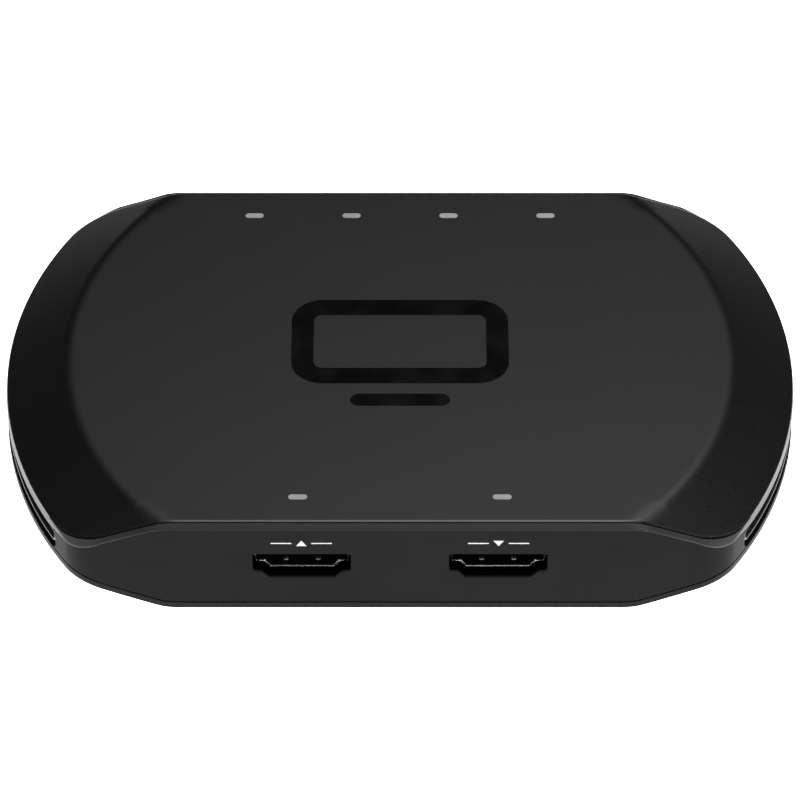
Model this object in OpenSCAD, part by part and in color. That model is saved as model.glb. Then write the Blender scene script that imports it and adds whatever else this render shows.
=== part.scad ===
// Video capture box: a low disc-shaped casing cut flat at the front and rear, with two video sockets in
// front, power, data and sound sockets behind, and a circuit board inside.
// The origin is at the middle of the plane that the feet stand on. X runs along the front, Y to the rear.

/* [Casing] */
// Width across the round ends
body_w = 127; // [120:0.5:138]
// Depth from the front wall to the rear wall
body_d = 79; // [76:0.5:88]
// Height of the casing without its feet
body_h = 18; // [17.6:0.1:24]
// Plan radius of the round ends
end_r = 66.5; // [64:0.5:80]
// Plan radius of the four upright corners
corner_r = 7; // [6:0.5:11]
// Diameter of the flat part of the top
top_flat_d = 106.8; // [98:0.1:110]
// Diameter of the flat part of the underside
base_flat_d = 108; // [104:0.5:112]
// Fall of the top from its flat part to the round ends
top_fall = 4.9; // [3.6:0.1:5.2]
// Rise of the underside from its flat part to the round ends
base_rise = 5.5; // [3.6:0.1:5.6]
// Radius of the soft crease round the flat parts
crease_r = 6; // [4:0.5:14]

/* [Walls] */
// Thickness of the top cover
cover_t = 1.8; // [1.6:0.1:2.2]
// Thickness of the top cover's edge, which lies on the rim of the frame
flange_t = 0.8; // [0.6:0.1:1.1]
// Thickness of the upright wall
wall_t = 2.2; // [1.8:0.1:2.6]
// Thickness of the base cover's floor
base_t = 1.9; // [1.7:0.1:2.4]
// Height of the band that the base cover shows
base_edge = 1.1; // [0.8:0.1:1.4]
// Height of the groove between that band and the wall
groove_h = 0.2; // [0.15:0.05:0.4]
// Depth of that groove
groove_depth = 0.3; // [0.2:0.1:1]
// Width of the rim's chamfer along the front and rear, which runs out at the round ends
chamfer_side = 1.05; // [0.6:0.05:1.2]
// Height of the rim's chamfer
chamfer_h = 0.5; // [0.3:0.05:0.6]
// Height of the top cover's edge above the rim
rim_drop = 0.2; // [0.1:0.05:0.25]
// Width of the rim's top beside its chamfer
rim_land = 0.1; // [0.1:0.05:0.2]
// Gap between the top cover and the rim
seam_gap = 0.15; // [0.12:0.01:0.2]
// Distance of the top cover's edge inside the wall's face at the round ends
cover_end_in = 0.1; // [0.05:0.01:0.11]
// Height of the locating lip on the base cover
lip_h = 1.2; // [0.8:0.1:1.6]
// Thickness of that lip
lip_t = 1.2; // [0.8:0.1:1.6]

/* [Vents] */
// Length of the vent in each round end
vent_l = 67.4; // [50:0.2:68]
// Height of the vent's lower edge above the underside
vent_z = 7.2; // [7.1:0.1:7.6]
// Height of the vent
vent_h = 4; // [3.6:0.1:4.2]
// Radius of the vent's corners
vent_r = 1.3; // [1:0.1:1.5]
// Thickness of the louvre's blade and of its turned-up ends
blade_t = 0.5; // [0.4:0.05:0.7]
// Height of the blade above the vent's lower edge
blade_lift = 1.15; // [0.9:0.05:1.3]
// Depth of the blade's edge behind the outer wall
blade_recess = 0.15; // [0.1:0.05:1.2]
// Room between the louvre's turned-up ends and the vent
blade_end_gap = 0.15; // [0.1:0.05:0.3]
// Distance from the middle to each post of the louvre
louvre_post_y = 20; // [14:0.5:22]
// Thickness of a louvre post
louvre_post_w = 2; // [1.5:0.1:2.4]
// Length of a louvre post along the end
louvre_post_l = 3; // [2:0.1:4]

/* [Lights] */
// Distance between neighbouring light windows of the rear row, and half that of the front pair
light_pitch = 16; // [15:0.1:17]
// Distance from the outer wall to the middle of each row
light_inset = 6.8; // [6:0.1:9]
// Length of a window
window_l = 3; // [2.4:0.1:4]
// Width of a window
window_w = 1.1; // [0.9:0.1:1.3]
// Thickness and width of the light guides' arms
guide_t = 1.4; // [1.2:0.1:1.6]
// Width of a lamp
lamp_w = 1.6; // [1:0.1:2]
// Depth of a lamp
lamp_d = 1.2; // [0.8:0.1:1.4]
// Height of a lamp
lamp_h = 0.7; // [0.5:0.1:1]
// Room between a lamp and its light guide
lamp_gap = 0.3; // [0.2:0.1:0.5]

/* [Video sockets] */
// Distance from the middle to each video socket
video_x = 15.4; // [14:0.1:17]
// Height of their middle above the underside
video_z = 9.4; // [9:0.1:9.8]
// Width of the shell
video_w = 15; // [14.6:0.1:15.4]
// Height of the shell
video_h = 5; // [5:0.1:5.6]
// Width of the shell's floor between its sloping corners
video_floor_w = 10.2; // [10.2:0.1:10.8]
// Width of the shoulder above each sloping corner
video_shoulder = 1.4; // [0.8:0.1:1.5]
// Height of the shell's upright sides
video_side_h = 3.65; // [3.4:0.05:3.7]
// Height of the sloping corners
video_slope_h = 1.25; // [1:0.05:1.4]
// Depth of the shell
video_l = 11.5; // [10.5:0.1:13]
// Thickness of the sheet metal of the shells
shell_t = 0.2; // [0.15:0.05:0.3]
// Width of the tongue
tongue_w = 11.4; // [10.8:0.1:12]
// Thickness of the tongue
tongue_t = 1.2; // [1:0.1:1.5]
// Height of the tongue's middle above the middle of the socket
tongue_rise = 0.7; // [0.5:0.05:0.9]
// Depth of the tongue's edge behind the mouth
tongue_recess = 2.2; // [1.9:0.1:2.6]
// Depth of the block that carries the tongue
socket_block_l = 2.6; // [2:0.1:3.4]
// Number of contacts above the tongue
upper_contacts = 10; // [8:1:10]
// Number of contacts below the tongue
lower_contacts = 9; // [7:1:10]
// Distance between contacts of a row
contact_pitch = 1; // [0.95:0.01:1.05]
// Width of a contact
contact_w = 0.42; // [0.3:0.02:0.5]
// Thickness of a contact
contact_t = 0.12; // [0.1:0.01:0.2]

/* [Rear sockets] */
// Width of the data socket's shell
data_w = 8.9; // [8.6:0.1:9.4]
// Height of the data socket's shell
data_h = 3.2; // [3:0.1:3.4]
// Depth of the data socket
data_l = 7.6; // [7:0.1:9]
// Width of the data socket's tongue
data_tongue_w = 6.6; // [6:0.1:6.8]
// Thickness of the data socket's tongue
data_tongue_t = 0.7; // [0.6:0.05:0.8]
// Depth of the data socket's tongue behind the mouth
data_recess = 0.9; // [0.6:0.1:1.2]
// Width of a jack's body
jack_w = 6.6; // [6.4:0.1:8]
// Height of a jack's body
jack_h = 5.6; // [5.4:0.1:6.4]
// Depth of a jack's body
jack_l = 12; // [11.5:0.1:13]
// Diameter of the nose that stands in the wall
nose_d = 5.2; // [5:0.1:5.4]
// Depth of the nose's face behind the outer wall
nose_recess = 0.3; // [0.1:0.1:0.6]
// Diameter of a sound jack's bore
sound_bore_d = 3.6; // [3.55:0.05:3.8]
// Depth of a sound jack's bore
sound_bore_l = 12; // [10:0.1:12.5]
// Diameter of the power jack's bore
power_bore_d = 3.9; // [3.7:0.1:4.1]
// Depth of the power jack's bore
power_bore_l = 9; // [8:0.1:10]
// Diameter of the power jack's pin
power_pin_d = 1.3; // [1.1:0.1:1.6]
// Length of the power jack's pin
power_pin_l = 7.5; // [6:0.1:7.8]

/* [Board] */
// Width of the circuit board
board_w = 82; // [80:0.5:85]
// Thickness of the circuit board
board_t = 1.6; // [1.2:0.1:2]
// Room between the board's edge and the wall
board_gap = 0.6; // [0.4:0.1:1]
// Radius of the board's corners
board_r = 2; // [1:0.5:3]
// Distance of the screw holes from the board's sides
hole_in_x = 5; // [4.5:0.1:6]
// Distance of the screw holes from the board's front and rear
hole_in_y = 6.5; // [5:0.1:7]
// Width and depth of the processor
processor_w = 17; // [14:0.5:20]
// Thickness of the processor
processor_t = 1.4; // [1:0.1:1.6]
// Thickness of the thermal pad
pad_t = 0.6; // [0.4:0.1:1]
// Width of the heat sink
sink_w = 38; // [34:0.5:39]
// Depth of the heat sink
sink_d = 32; // [28:0.5:34]
// Thickness of the heat sink's base
sink_base_t = 2; // [1.5:0.1:2.5]
// Number of fins
fin_count = 9; // [5:1:11]
// Thickness of a fin
fin_t = 1.1; // [0.8:0.1:1.4]
// Room between the fins and the top cover
sink_room = 1.2; // [0.8:0.1:1.6]
// Distance of the push pins from the heat sink's edges
pin_in = 3; // [2.8:0.1:3.5]
// Diameter of a push pin's shank
pin_d = 2; // [1.6:0.1:2.4]
// Diameter of a push pin's head
pin_head_d = 4; // [3.4:0.1:4.4]
// Length of a push pin's tail below the board
pin_tail = 1; // [0.6:0.1:1.4]
// Room between the heat sink and the chips beside it
chip_gap = 3; // [2:0.1:4]
// Width of a memory chip
memory_w = 9; // [8:0.5:10]
// Depth of a memory chip
memory_d = 11; // [9:0.5:13]
// Height of a memory chip
memory_h = 1.1; // [0.8:0.1:1.4]
// Width and depth of the power coil
coil_w = 7; // [5:0.1:8]
// Height of the power coil
coil_h = 3.2; // [2:0.1:4.5]
// Diameter of a capacitor
capacitor_d = 5; // [4:0.1:5.4]
// Height of a capacitor
capacitor_h = 5.6; // [4:0.1:6]
// Distance between the middles of the two capacitors
capacitor_pitch = 6; // [5.6:0.1:7]

/* [Screws and feet] */
// Diameter of a screw's shank
screw_d = 2.5; // [2:0.1:2.6]
// Diameter of a screw's head
head_d = 4.4; // [4:0.1:4.6]
// Height of a screw's head
head_h = 1.6; // [1.2:0.1:1.8]
// Depth of a case screw's head below the underside
head_sink = 0.5; // [0.3:0.1:0.8]
// Length of a case screw's shank
case_screw_l = 11; // [9:0.5:12]
// Length of a board screw's shank
board_screw_l = 4.4; // [4:0.1:4.6]
// Diameter of the pillars that the case screws pass
pillar_d = 7.4; // [7:0.1:7.8]
// Height of those pillars above the underside
pillar_h = 5; // [4.8:0.1:6]
// Distance from the middle to the case screws, front to rear
pillar_y = 24; // [20:0.5:25]
// Diameter of the top cover's bosses
boss_d = 6; // [5:0.1:6.4]
// Diameter of the posts under the board
post_d = 5.6; // [5:0.1:6.4]
// Diameter of a foot
foot_d = 9; // [7:0.5:11]
// Distance from the middle to the feet, along the front
foot_x = 36; // [30:0.5:37]
// Distance from the front and rear walls to the feet's middles
foot_in_y = 12.5; // [11.5:0.5:17]
// Height that the feet stand out below the underside
foot_stand = 0.8; // [0.4:0.1:1.5]
// Depth of the pockets that hold the feet
foot_pocket = 0.6; // [0.4:0.1:0.8]

/* [Fits] */
// Clearance between pieces that slide together
fit_gap = 0.2; // [0.1:0.05:0.25]
// Clearance round windows, pins and screw shanks
close_gap = 0.06; // [0.04:0.01:0.1]

/* [Hidden] */
$fn = 48;
round_fn = 96;
end_steps = 10;
corner_steps = 6;
crease_steps = 6;
ends = [-1, 1];
cut_room = 9;
over = 1;

base_z = foot_stand;
top_z = base_z + body_h;
ceiling_z = top_z - cover_t;
seat_lift = base_edge + groove_h;
reach = body_w / 2 + cut_room;
deep = 2 * body_h;
top_slope = 2 * top_fall / (body_w - top_flat_d);
base_slope = 2 * base_rise / (body_w - base_flat_d);
end_cx = body_w / 2 - end_r;
wall_in_y = body_d / 2 - wall_t;
foot_y = body_d / 2 - foot_in_y;

cover_side_in = chamfer_side + rim_land + seam_gap;
spigot_in = wall_t + fit_gap;

board_top = base_z + video_z - video_h / 2;
board_z = board_top - board_t;
board_d = 2 * (wall_in_y - board_gap);
hole_x = board_w / 2 - hole_in_x;
hole_y = board_d / 2 - hole_in_y;
pillar_x = board_w / 2 + 2 * fit_gap + pillar_d / 2;
mouth_y = wall_in_y - fit_gap;

row_y = body_d / 2 - light_inset;
rear_lights = [for (i = [-1.5:1:1.5]) i * light_pitch];
front_lights = [-light_pitch, light_pitch];
rear_lamp_y = mouth_y - jack_l - 2 * guide_t;
front_lamp_y = video_l + 2 * guide_t - mouth_y;
power_x = rear_lights[0];
data_x = rear_lights[1];
line_x = rear_lights[2];
headset_x = rear_lights[3];
jack_z = board_top + jack_h / 2;
data_z = board_top + data_h / 2;
socket_z = base_z + video_z;

blade_z = base_z + vent_z + blade_lift;
tray_l = vent_l - 2 * blade_end_gap;
tray_h = vent_h - blade_lift - blade_end_gap;
tray_r = vent_r - blade_end_gap;
louvre_end_y = louvre_post_y + louvre_post_l / 2;
louvre_out_x = end_cx + sqrt(pow(end_r - spigot_in, 2) - pow(louvre_end_y, 2));
louvre_rise = base_slope * (norm([louvre_out_x, louvre_end_y]) - base_flat_d / 2);
louvre_pad_h = base_t + lip_h + louvre_rise + fit_gap;

sink_z = board_top + processor_t + pad_t;
fin_h = ceiling_z - sink_room - sink_z;
pin_x = sink_w / 2 - pin_in;
pin_y = sink_d / 2 - pin_in;
memory_x = sink_w / 2 + memory_w / 2 + chip_gap;
supply_x = memory_x + chip_gap;
supply_y = memory_d / 2 + chip_gap;

black = [0.13, 0.13, 0.135];
dark = [0.08, 0.08, 0.085];
steel = [0.75, 0.75, 0.77];
gold = [0.85, 0.68, 0.3];
clear = [0.75, 0.76, 0.78];
lacquer = [0.06, 0.07, 0.07];

// Plan outlines of the casing

// One side of the outline, from the front corner round the end to the rear corner
function plan_side(w, d, r_end, r_corner) =
    let (
        cx = w / 2 - r_end,
        cy = d / 2 - r_corner,
        fx = cx + sqrt(pow(r_end - r_corner, 2) - cy * cy),
        turn = atan2(cy, fx - cx),
        step = (90 - turn) / corner_steps,
        end_step = turn / end_steps
    )
    concat(
        [for (i = [0:corner_steps - 1]) [fx, -cy] + r_corner * [sin(step * i), -cos(step * i)]],
        [for (i = [-end_steps:end_steps]) [cx, 0] + r_end * [cos(end_step * i), sin(end_step * i)]],
        [for (i = [1:corner_steps]) [fx, cy] + r_corner * [cos(turn + step * i), sin(turn + step * i)]]
    );

// The casing's outline moved inwards by one amount at front and rear and by another at the ends
module plan(side_in, end_in) {
    r_corner = corner_r - (side_in + end_in) / 2;
    side = plan_side(body_w - 2 * end_in, body_d - 2 * side_in, end_r - end_in, r_corner);
    polygon(concat(side, [for (p = side) -p]));
}

module prism(side_in, end_in) {
    translate([0, 0, base_z - body_h / 2])
        linear_extrude(height = deep) plan(side_in, end_in);
}

// Wings of the top and the underside

// Distance from the axis and fall of a flat disc that bends over a soft crease into a cone
function wing_curve(flat_r, slope) =
    let (
        bend = atan(slope),
        start = flat_r - crease_r * tan(bend / 2)
    )
    concat(
        [[0, 0]],
        [for (i = [0:crease_steps]) let (a = bend * i / crease_steps)
            [start + crease_r * sin(a), crease_r * (1 - cos(a))]],
        [[reach, slope * (reach - flat_r)]]
    );

// All that lies below the top surface lowered by drop
module under_top(drop) {
    curve = wing_curve(top_flat_d / 2, top_slope);
    translate([0, 0, top_z - drop])
        rotate_extrude($fn = round_fn)
            polygon(concat([[0, -deep]], [for (p = curve) [p[0], -p[1]]], [[reach, -deep]]));
}

// All that lies above the underside raised by lift
module above_base(lift) {
    curve = wing_curve(base_flat_d / 2, base_slope);
    translate([0, 0, base_z + lift])
        rotate_extrude($fn = round_fn)
            polygon(concat([[0, deep]], curve, [[reach, deep]]));
}

// A layer of the top between two depths
module top_layer(from, to) {
    difference() {
        under_top(from);
        under_top(to);
    }
}

// A layer of the underside between two heights
module base_layer(from, to) {
    difference() {
        above_base(from);
        above_base(to);
    }
}

// Small shapes that repeat

module at_four(x, y) {
    for (sx = ends, sy = ends) translate([sx * x, sy * y, 0]) children();
}

module pill(l, w) {
    square([l - w, w], center = true);
    for (s = ends) translate([s * (l - w) / 2, 0]) circle(d = w);
}

module rounded_square(w, d, r) {
    square([w - 2 * r, d], center = true);
    square([w, d - 2 * r], center = true);
    for (sx = ends, sy = ends) translate([sx * (w / 2 - r), sy * (d / 2 - r)]) circle(r = r);
}

module block(size, z) {
    translate([-size[0] / 2, -size[1] / 2, z]) cube(size);
}

// A shape drawn in X and Z, pushed from y to the rear by l
module push_back(y, l) {
    translate([0, y, 0]) rotate([90, 0, 0]) translate([0, 0, -l]) linear_extrude(height = l) children();
}

module video_profile(grow) {
    half = video_w / 2 + grow;
    floor_half = video_floor_w / 2 + grow / 2;
    top = video_h / 2 + grow;
    side_z = video_h / 2 - video_side_h - grow / 2;
    slope_z = video_slope_h - video_h / 2 - grow;
    right = [[floor_half, -top], [half - video_shoulder, slope_z], [half, side_z], [half, top]];
    polygon(concat(right, [for (i = [3:-1:0]) [-right[i][0], right[i][1]]]));
}

module light_rows() {
    for (x = rear_lights) translate([x, row_y, 0]) children();
    for (x = front_lights) translate([x, -row_y, 0]) children();
}

// Casing

module top_cover() {
    color(black)
        difference() {
            union() {
                intersection() {
                    prism(cover_side_in, cover_end_in);
                    top_layer(0, flange_t);
                }
                intersection() {
                    prism(spigot_in, spigot_in);
                    top_layer(flange_t / 2, cover_t);
                }
                difference() {
                    at_four(pillar_x, pillar_y)
                        translate([0, 0, base_z + pillar_h]) cylinder(d = boss_d, h = body_h - pillar_h);
                    difference() {
                        block([2 * reach, 2 * reach, deep], base_z);
                        under_top(cover_t / 2);
                    }
                }
            }
            at_four(pillar_x, pillar_y)
                translate([0, 0, base_z])
                    cylinder(d = screw_d + 2 * close_gap, h = head_sink + head_h + case_screw_l + fit_gap);
            light_rows()
                translate([0, 0, ceiling_z - fit_gap])
                    linear_extrude(height = cover_t + 2 * fit_gap)
                        pill(window_l + 2 * close_gap, window_w + 2 * close_gap);
        }
}

module vent_cut() {
    for (s = ends)
        translate([s * reach, 0, base_z + vent_z + vent_h / 2])
            rotate([0, -s * 90, 0])
                linear_extrude(height = reach - body_w / 4) rounded_square(vent_h, vent_l, vent_r);
}

module front_cuts() {
    for (s = ends)
        translate([s * video_x, 0, socket_z])
            push_back(-body_d / 2 - over, wall_t + 2 * over) video_profile(fit_gap);
}

module rear_cuts() {
    for (x = [power_x, line_x, headset_x])
        translate([x, 0, jack_z])
            push_back(wall_in_y - over, wall_t + 2 * over) circle(d = nose_d + 2 * fit_gap);
    translate([data_x, 0, data_z])
        push_back(wall_in_y - over, wall_t + 2 * over) pill(data_w + 2 * fit_gap, data_h + 2 * fit_gap);
}

module mid_frame() {
    color(black)
        difference() {
            intersection() {
                hull() {
                    intersection() {
                        prism(chamfer_side, cover_end_in);
                        under_top(rim_drop);
                    }
                    intersection() {
                        prism(0, 0);
                        under_top(rim_drop + chamfer_h);
                    }
                }
                above_base(seat_lift);
            }
            prism(wall_t, wall_t);
            difference() {
                prism(cover_side_in - seam_gap, cover_end_in - seam_gap);
                under_top(flange_t + close_gap);
            }
            vent_cut();
            front_cuts();
            rear_cuts();
        }
}

module louvre_pads() {
    for (sx = ends, sy = ends)
        translate([sx * (louvre_out_x - louvre_post_w / 2), sy * louvre_post_y, 0])
            block([louvre_post_w, louvre_post_l, louvre_pad_h - base_t / 2], base_z + base_t / 2);
}

module base_cover() {
    color(black)
        difference() {
            union() {
                intersection() {
                    prism(0, 0);
                    base_layer(0, base_edge);
                }
                intersection() {
                    prism(groove_depth, groove_depth);
                    base_layer(base_edge / 2, seat_lift);
                }
                intersection() {
                    prism(spigot_in, spigot_in);
                    base_layer(base_edge / 2, base_t);
                }
                intersection() {
                    difference() {
                        prism(spigot_in, spigot_in);
                        prism(spigot_in + lip_t, spigot_in + lip_t);
                    }
                    base_layer(base_edge / 2, base_t + lip_h);
                }
                intersection() {
                    louvre_pads();
                    above_base(base_edge / 2);
                }
                at_four(pillar_x, pillar_y)
                    translate([0, 0, base_z + base_t / 2]) cylinder(d = pillar_d, h = pillar_h - base_t / 2);
                at_four(hole_x, hole_y)
                    translate([0, 0, base_z + base_t / 2])
                        cylinder(d = post_d, h = board_z - base_z - base_t / 2);
            }
            at_four(pillar_x, pillar_y) {
                translate([0, 0, base_z - over])
                    cylinder(d = head_d + 2 * fit_gap, h = over + head_sink + head_h);
                translate([0, 0, base_z]) cylinder(d = screw_d + 2 * close_gap, h = pillar_h + over);
            }
            at_four(hole_x, hole_y)
                translate([0, 0, board_top - board_screw_l - fit_gap])
                    cylinder(d = screw_d + 2 * close_gap, h = board_screw_l + over);
            at_four(foot_x, foot_y)
                translate([0, 0, base_z - over])
                    cylinder(d = foot_d + 2 * close_gap, h = over + foot_pocket);
        }
}

// The louvre as seen from the end: a blade whose ends turn up along the vent's ends
module louvre_face() {
    difference() {
        rounded_square(tray_l, tray_h, tray_r);
        rounded_square(tray_l - 2 * blade_t, tray_h - 2 * blade_t, tray_r - blade_t);
        translate([tray_r - tray_l / 2, 0]) square([tray_l - 2 * tray_r, tray_h]);
    }
}

// A louvre that follows the round end, on two posts that stand on pads of the base cover
module louvre(side) {
    blade_r = end_r - blade_recess;
    tail_r = norm([louvre_out_x - louvre_post_w - end_cx, louvre_post_y - louvre_post_l / 2]) - fit_gap;
    color(dark)
        mirror([side < 0 ? 1 : 0, 0, 0]) {
            intersection() {
                translate([body_w / 4, 0, blade_z + tray_h / 2])
                    rotate([90, 0, 90]) linear_extrude(height = body_w / 2) louvre_face();
                translate([end_cx, 0, base_z])
                    linear_extrude(height = body_h)
                        difference() {
                            circle(r = blade_r, $fn = 2 * round_fn);
                            circle(r = tail_r, $fn = 2 * round_fn);
                        }
            }
            for (sy = ends)
                translate([louvre_out_x - louvre_post_w / 2, sy * louvre_post_y, 0])
                    block(
                        [louvre_post_w, louvre_post_l, blade_z + blade_t - base_z - louvre_pad_h],
                        base_z + louvre_pad_h
                    );
        }
}

module left_louvre() louvre(-1);
module right_louvre() louvre(1);

// Lights

// A bar under the top cover with a window, an arm and a leg for each lamp
module light_guide(xs, y, lamp_y) {
    bar_z = ceiling_z - guide_t;
    foot_z = board_top + lamp_h + lamp_gap;
    span = max(xs) - min(xs) + window_l;
    arm_l = abs(y - lamp_y) + guide_t;
    color(clear) {
        translate([0, y, 0]) block([span, 2 * guide_t, guide_t], bar_z);
        for (x = xs) {
            translate([x, y, bar_z]) linear_extrude(height = top_z - bar_z) pill(window_l, window_w);
            translate([x, (y + lamp_y) / 2, 0]) block([guide_t, arm_l, guide_t], bar_z);
            translate([x, lamp_y, 0]) block([guide_t, guide_t, bar_z + guide_t - foot_z], foot_z);
        }
    }
}

module rear_light_guide() light_guide(rear_lights, row_y, rear_lamp_y);
module front_light_guide() light_guide(front_lights, -row_y, front_lamp_y);

module lamps() {
    color("white") {
        for (x = rear_lights) translate([x, rear_lamp_y, 0]) block([lamp_w, lamp_d, lamp_h], board_top);
        for (x = front_lights) translate([x, front_lamp_y, 0]) block([lamp_w, lamp_d, lamp_h], board_top);
    }
}

// Video sockets

module video_shell(x) {
    color(steel)
        translate([x, 0, socket_z])
            difference() {
                push_back(-mouth_y, video_l) video_profile(0);
                push_back(-mouth_y - over, video_l + 2 * over) video_profile(-shell_t);
            }
}

module video_insulator(x) {
    rear_y = video_l - mouth_y;
    color(dark)
        translate([x, 0, socket_z]) {
            push_back(rear_y - socket_block_l, socket_block_l) video_profile(-shell_t - close_gap);
            translate([0, (tongue_recess - mouth_y + rear_y) / 2, 0])
                block([tongue_w, video_l - tongue_recess, tongue_t], tongue_rise - tongue_t / 2);
        }
}

module contact_row(count, l, z) {
    for (i = [0:count - 1])
        translate([(i - (count - 1) / 2) * contact_pitch, 0, 0]) block([contact_w, l, contact_t], z);
}

// One row of contacts above the tongue and one below it
module video_contacts(x) {
    contact_l = video_l - tongue_recess - socket_block_l - fit_gap;
    contact_y = tongue_recess - mouth_y + contact_l / 2 + fit_gap / 2;
    color(gold)
        translate([x, contact_y, socket_z + tongue_rise]) {
            contact_row(upper_contacts, contact_l, tongue_t / 2);
            contact_row(lower_contacts, contact_l, -tongue_t / 2 - contact_t);
        }
}

module video_out_shell() video_shell(-video_x);
module video_out_insulator() video_insulator(-video_x);
module video_out_contacts() video_contacts(-video_x);
module video_in_shell() video_shell(video_x);
module video_in_insulator() video_insulator(video_x);
module video_in_contacts() video_contacts(video_x);

// Rear sockets

module data_shell() {
    color(steel)
        translate([data_x, 0, data_z])
            difference() {
                push_back(mouth_y - data_l, data_l) pill(data_w, data_h);
                push_back(mouth_y - data_l - over, data_l + 2 * over)
                    pill(data_w - 2 * shell_t, data_h - 2 * shell_t);
            }
}

module data_insulator() {
    inner = 2 * (shell_t + close_gap);
    tongue_l = data_l - data_recess;
    color(dark)
        translate([data_x, 0, data_z]) {
            push_back(mouth_y - data_l, socket_block_l) pill(data_w - inner, data_h - inner);
            translate([0, mouth_y - data_l + tongue_l / 2, 0])
                block([data_tongue_w, tongue_l, data_tongue_t], -data_tongue_t / 2);
        }
}

module jack(x, bore_d, bore_l) {
    nose_y = body_d / 2 - nose_recess;
    color(dark)
        translate([x, 0, jack_z])
            difference() {
                union() {
                    translate([0, mouth_y - jack_l / 2, 0]) block([jack_w, jack_l, jack_h], -jack_h / 2);
                    push_back(mouth_y - over, nose_y - mouth_y + over) circle(d = nose_d);
                }
                push_back(nose_y - bore_l, bore_l + over) circle(d = bore_d);
            }
}

module line_jack() jack(line_x, sound_bore_d, sound_bore_l);
module headset_jack() jack(headset_x, sound_bore_d, sound_bore_l);
module power_jack() jack(power_x, power_bore_d, power_bore_l);

module power_pin() {
    color(steel)
        translate([power_x, 0, jack_z])
            push_back(body_d / 2 - nose_recess - power_bore_l, power_pin_l) circle(d = power_pin_d);
}

// Board and what it carries

module at_push_pins() {
    for (s = ends) translate([s * pin_x, s * pin_y, 0]) children();
}

module main_board() {
    color(lacquer)
        translate([0, 0, board_z])
            linear_extrude(height = board_t)
                difference() {
                    rounded_square(board_w, board_d, board_r);
                    at_four(hole_x, hole_y) circle(d = screw_d + 2 * close_gap);
                    at_push_pins() circle(d = pin_d + 2 * close_gap);
                }
}

module processor() color(dark) block([processor_w, processor_w, processor_t], board_top);

module thermal_pad() color("lightgray") block([processor_w, processor_w, pad_t], board_top + processor_t);

module heat_sink() {
    fin_pitch = (sink_w - fin_t) / (fin_count - 1);
    color("dimgray")
        difference() {
            union() {
                block([sink_w, sink_d, sink_base_t], sink_z);
                for (i = [0:fin_count - 1])
                    translate([fin_t / 2 - sink_w / 2 + i * fin_pitch, 0, 0])
                        block([fin_t, sink_d, fin_h], sink_z);
            }
            at_push_pins() {
                translate([0, 0, sink_z - over]) cylinder(d = pin_d + 2 * close_gap, h = sink_base_t + 2 * over);
                block([2 * pin_in, 2 * pin_in, fin_h], sink_z + sink_base_t);
            }
        }
}

module heat_sink_pins() {
    color("ivory")
        at_push_pins() {
            translate([0, 0, board_z - pin_tail])
                cylinder(d = pin_d, h = sink_z + sink_base_t - board_z + pin_tail);
            translate([0, 0, sink_z + sink_base_t]) cylinder(d = pin_head_d, h = pin_d / 2);
        }
}

module memory_chips() {
    color(dark)
        for (s = ends) translate([s * memory_x, 0, 0]) block([memory_w, memory_d, memory_h], board_top);
}

module power_coil() {
    color("gray")
        translate([supply_x, supply_y + coil_w / 2, 0]) block([coil_w, coil_w, coil_h], board_top);
}

module capacitors() {
    color("silver")
        for (i = [0, 1])
            translate([-supply_x, supply_y + capacitor_d / 2 + i * capacitor_pitch, board_top])
                cylinder(d = capacitor_d, h = capacitor_h);
}

// Screws and feet

module board_screws() {
    color(steel)
        at_four(hole_x, hole_y) {
            translate([0, 0, board_top]) cylinder(d = head_d, h = head_h);
            translate([0, 0, board_top - board_screw_l])
                cylinder(d = screw_d, h = board_screw_l + head_h / 2);
        }
}

module case_screws() {
    color(steel)
        at_four(pillar_x, pillar_y)
            translate([0, 0, base_z + head_sink]) {
                cylinder(d = head_d, h = head_h);
                cylinder(d = screw_d, h = head_h + case_screw_l);
            }
}

module foot(sx, sy) {
    color(dark)
        translate([sx * foot_x, sy * foot_y, 0]) cylinder(d = foot_d, h = foot_stand + foot_pocket);
}

module front_left_foot() foot(-1, -1);
module front_right_foot() foot(1, -1);
module rear_left_foot() foot(-1, 1);
module rear_right_foot() foot(1, 1);

top_cover();
mid_frame();
base_cover();
left_louvre();
right_louvre();
rear_light_guide();
front_light_guide();
lamps();
main_board();
video_out_shell();
video_out_insulator();
video_out_contacts();
video_in_shell();
video_in_insulator();
video_in_contacts();
data_shell();
data_insulator();
line_jack();
headset_jack();
power_jack();
power_pin();
processor();
thermal_pad();
heat_sink();
heat_sink_pins();
memory_chips();
power_coil();
capacitors();
board_screws();
case_screws();
front_left_foot();
front_right_foot();
rear_left_foot();
rear_right_foot();
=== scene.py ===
"""Looks of a video capture box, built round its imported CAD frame.

Lengths are in metres, in the frame's own axes: X along the front, Y to the rear, Z up.
"""

import math

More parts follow.
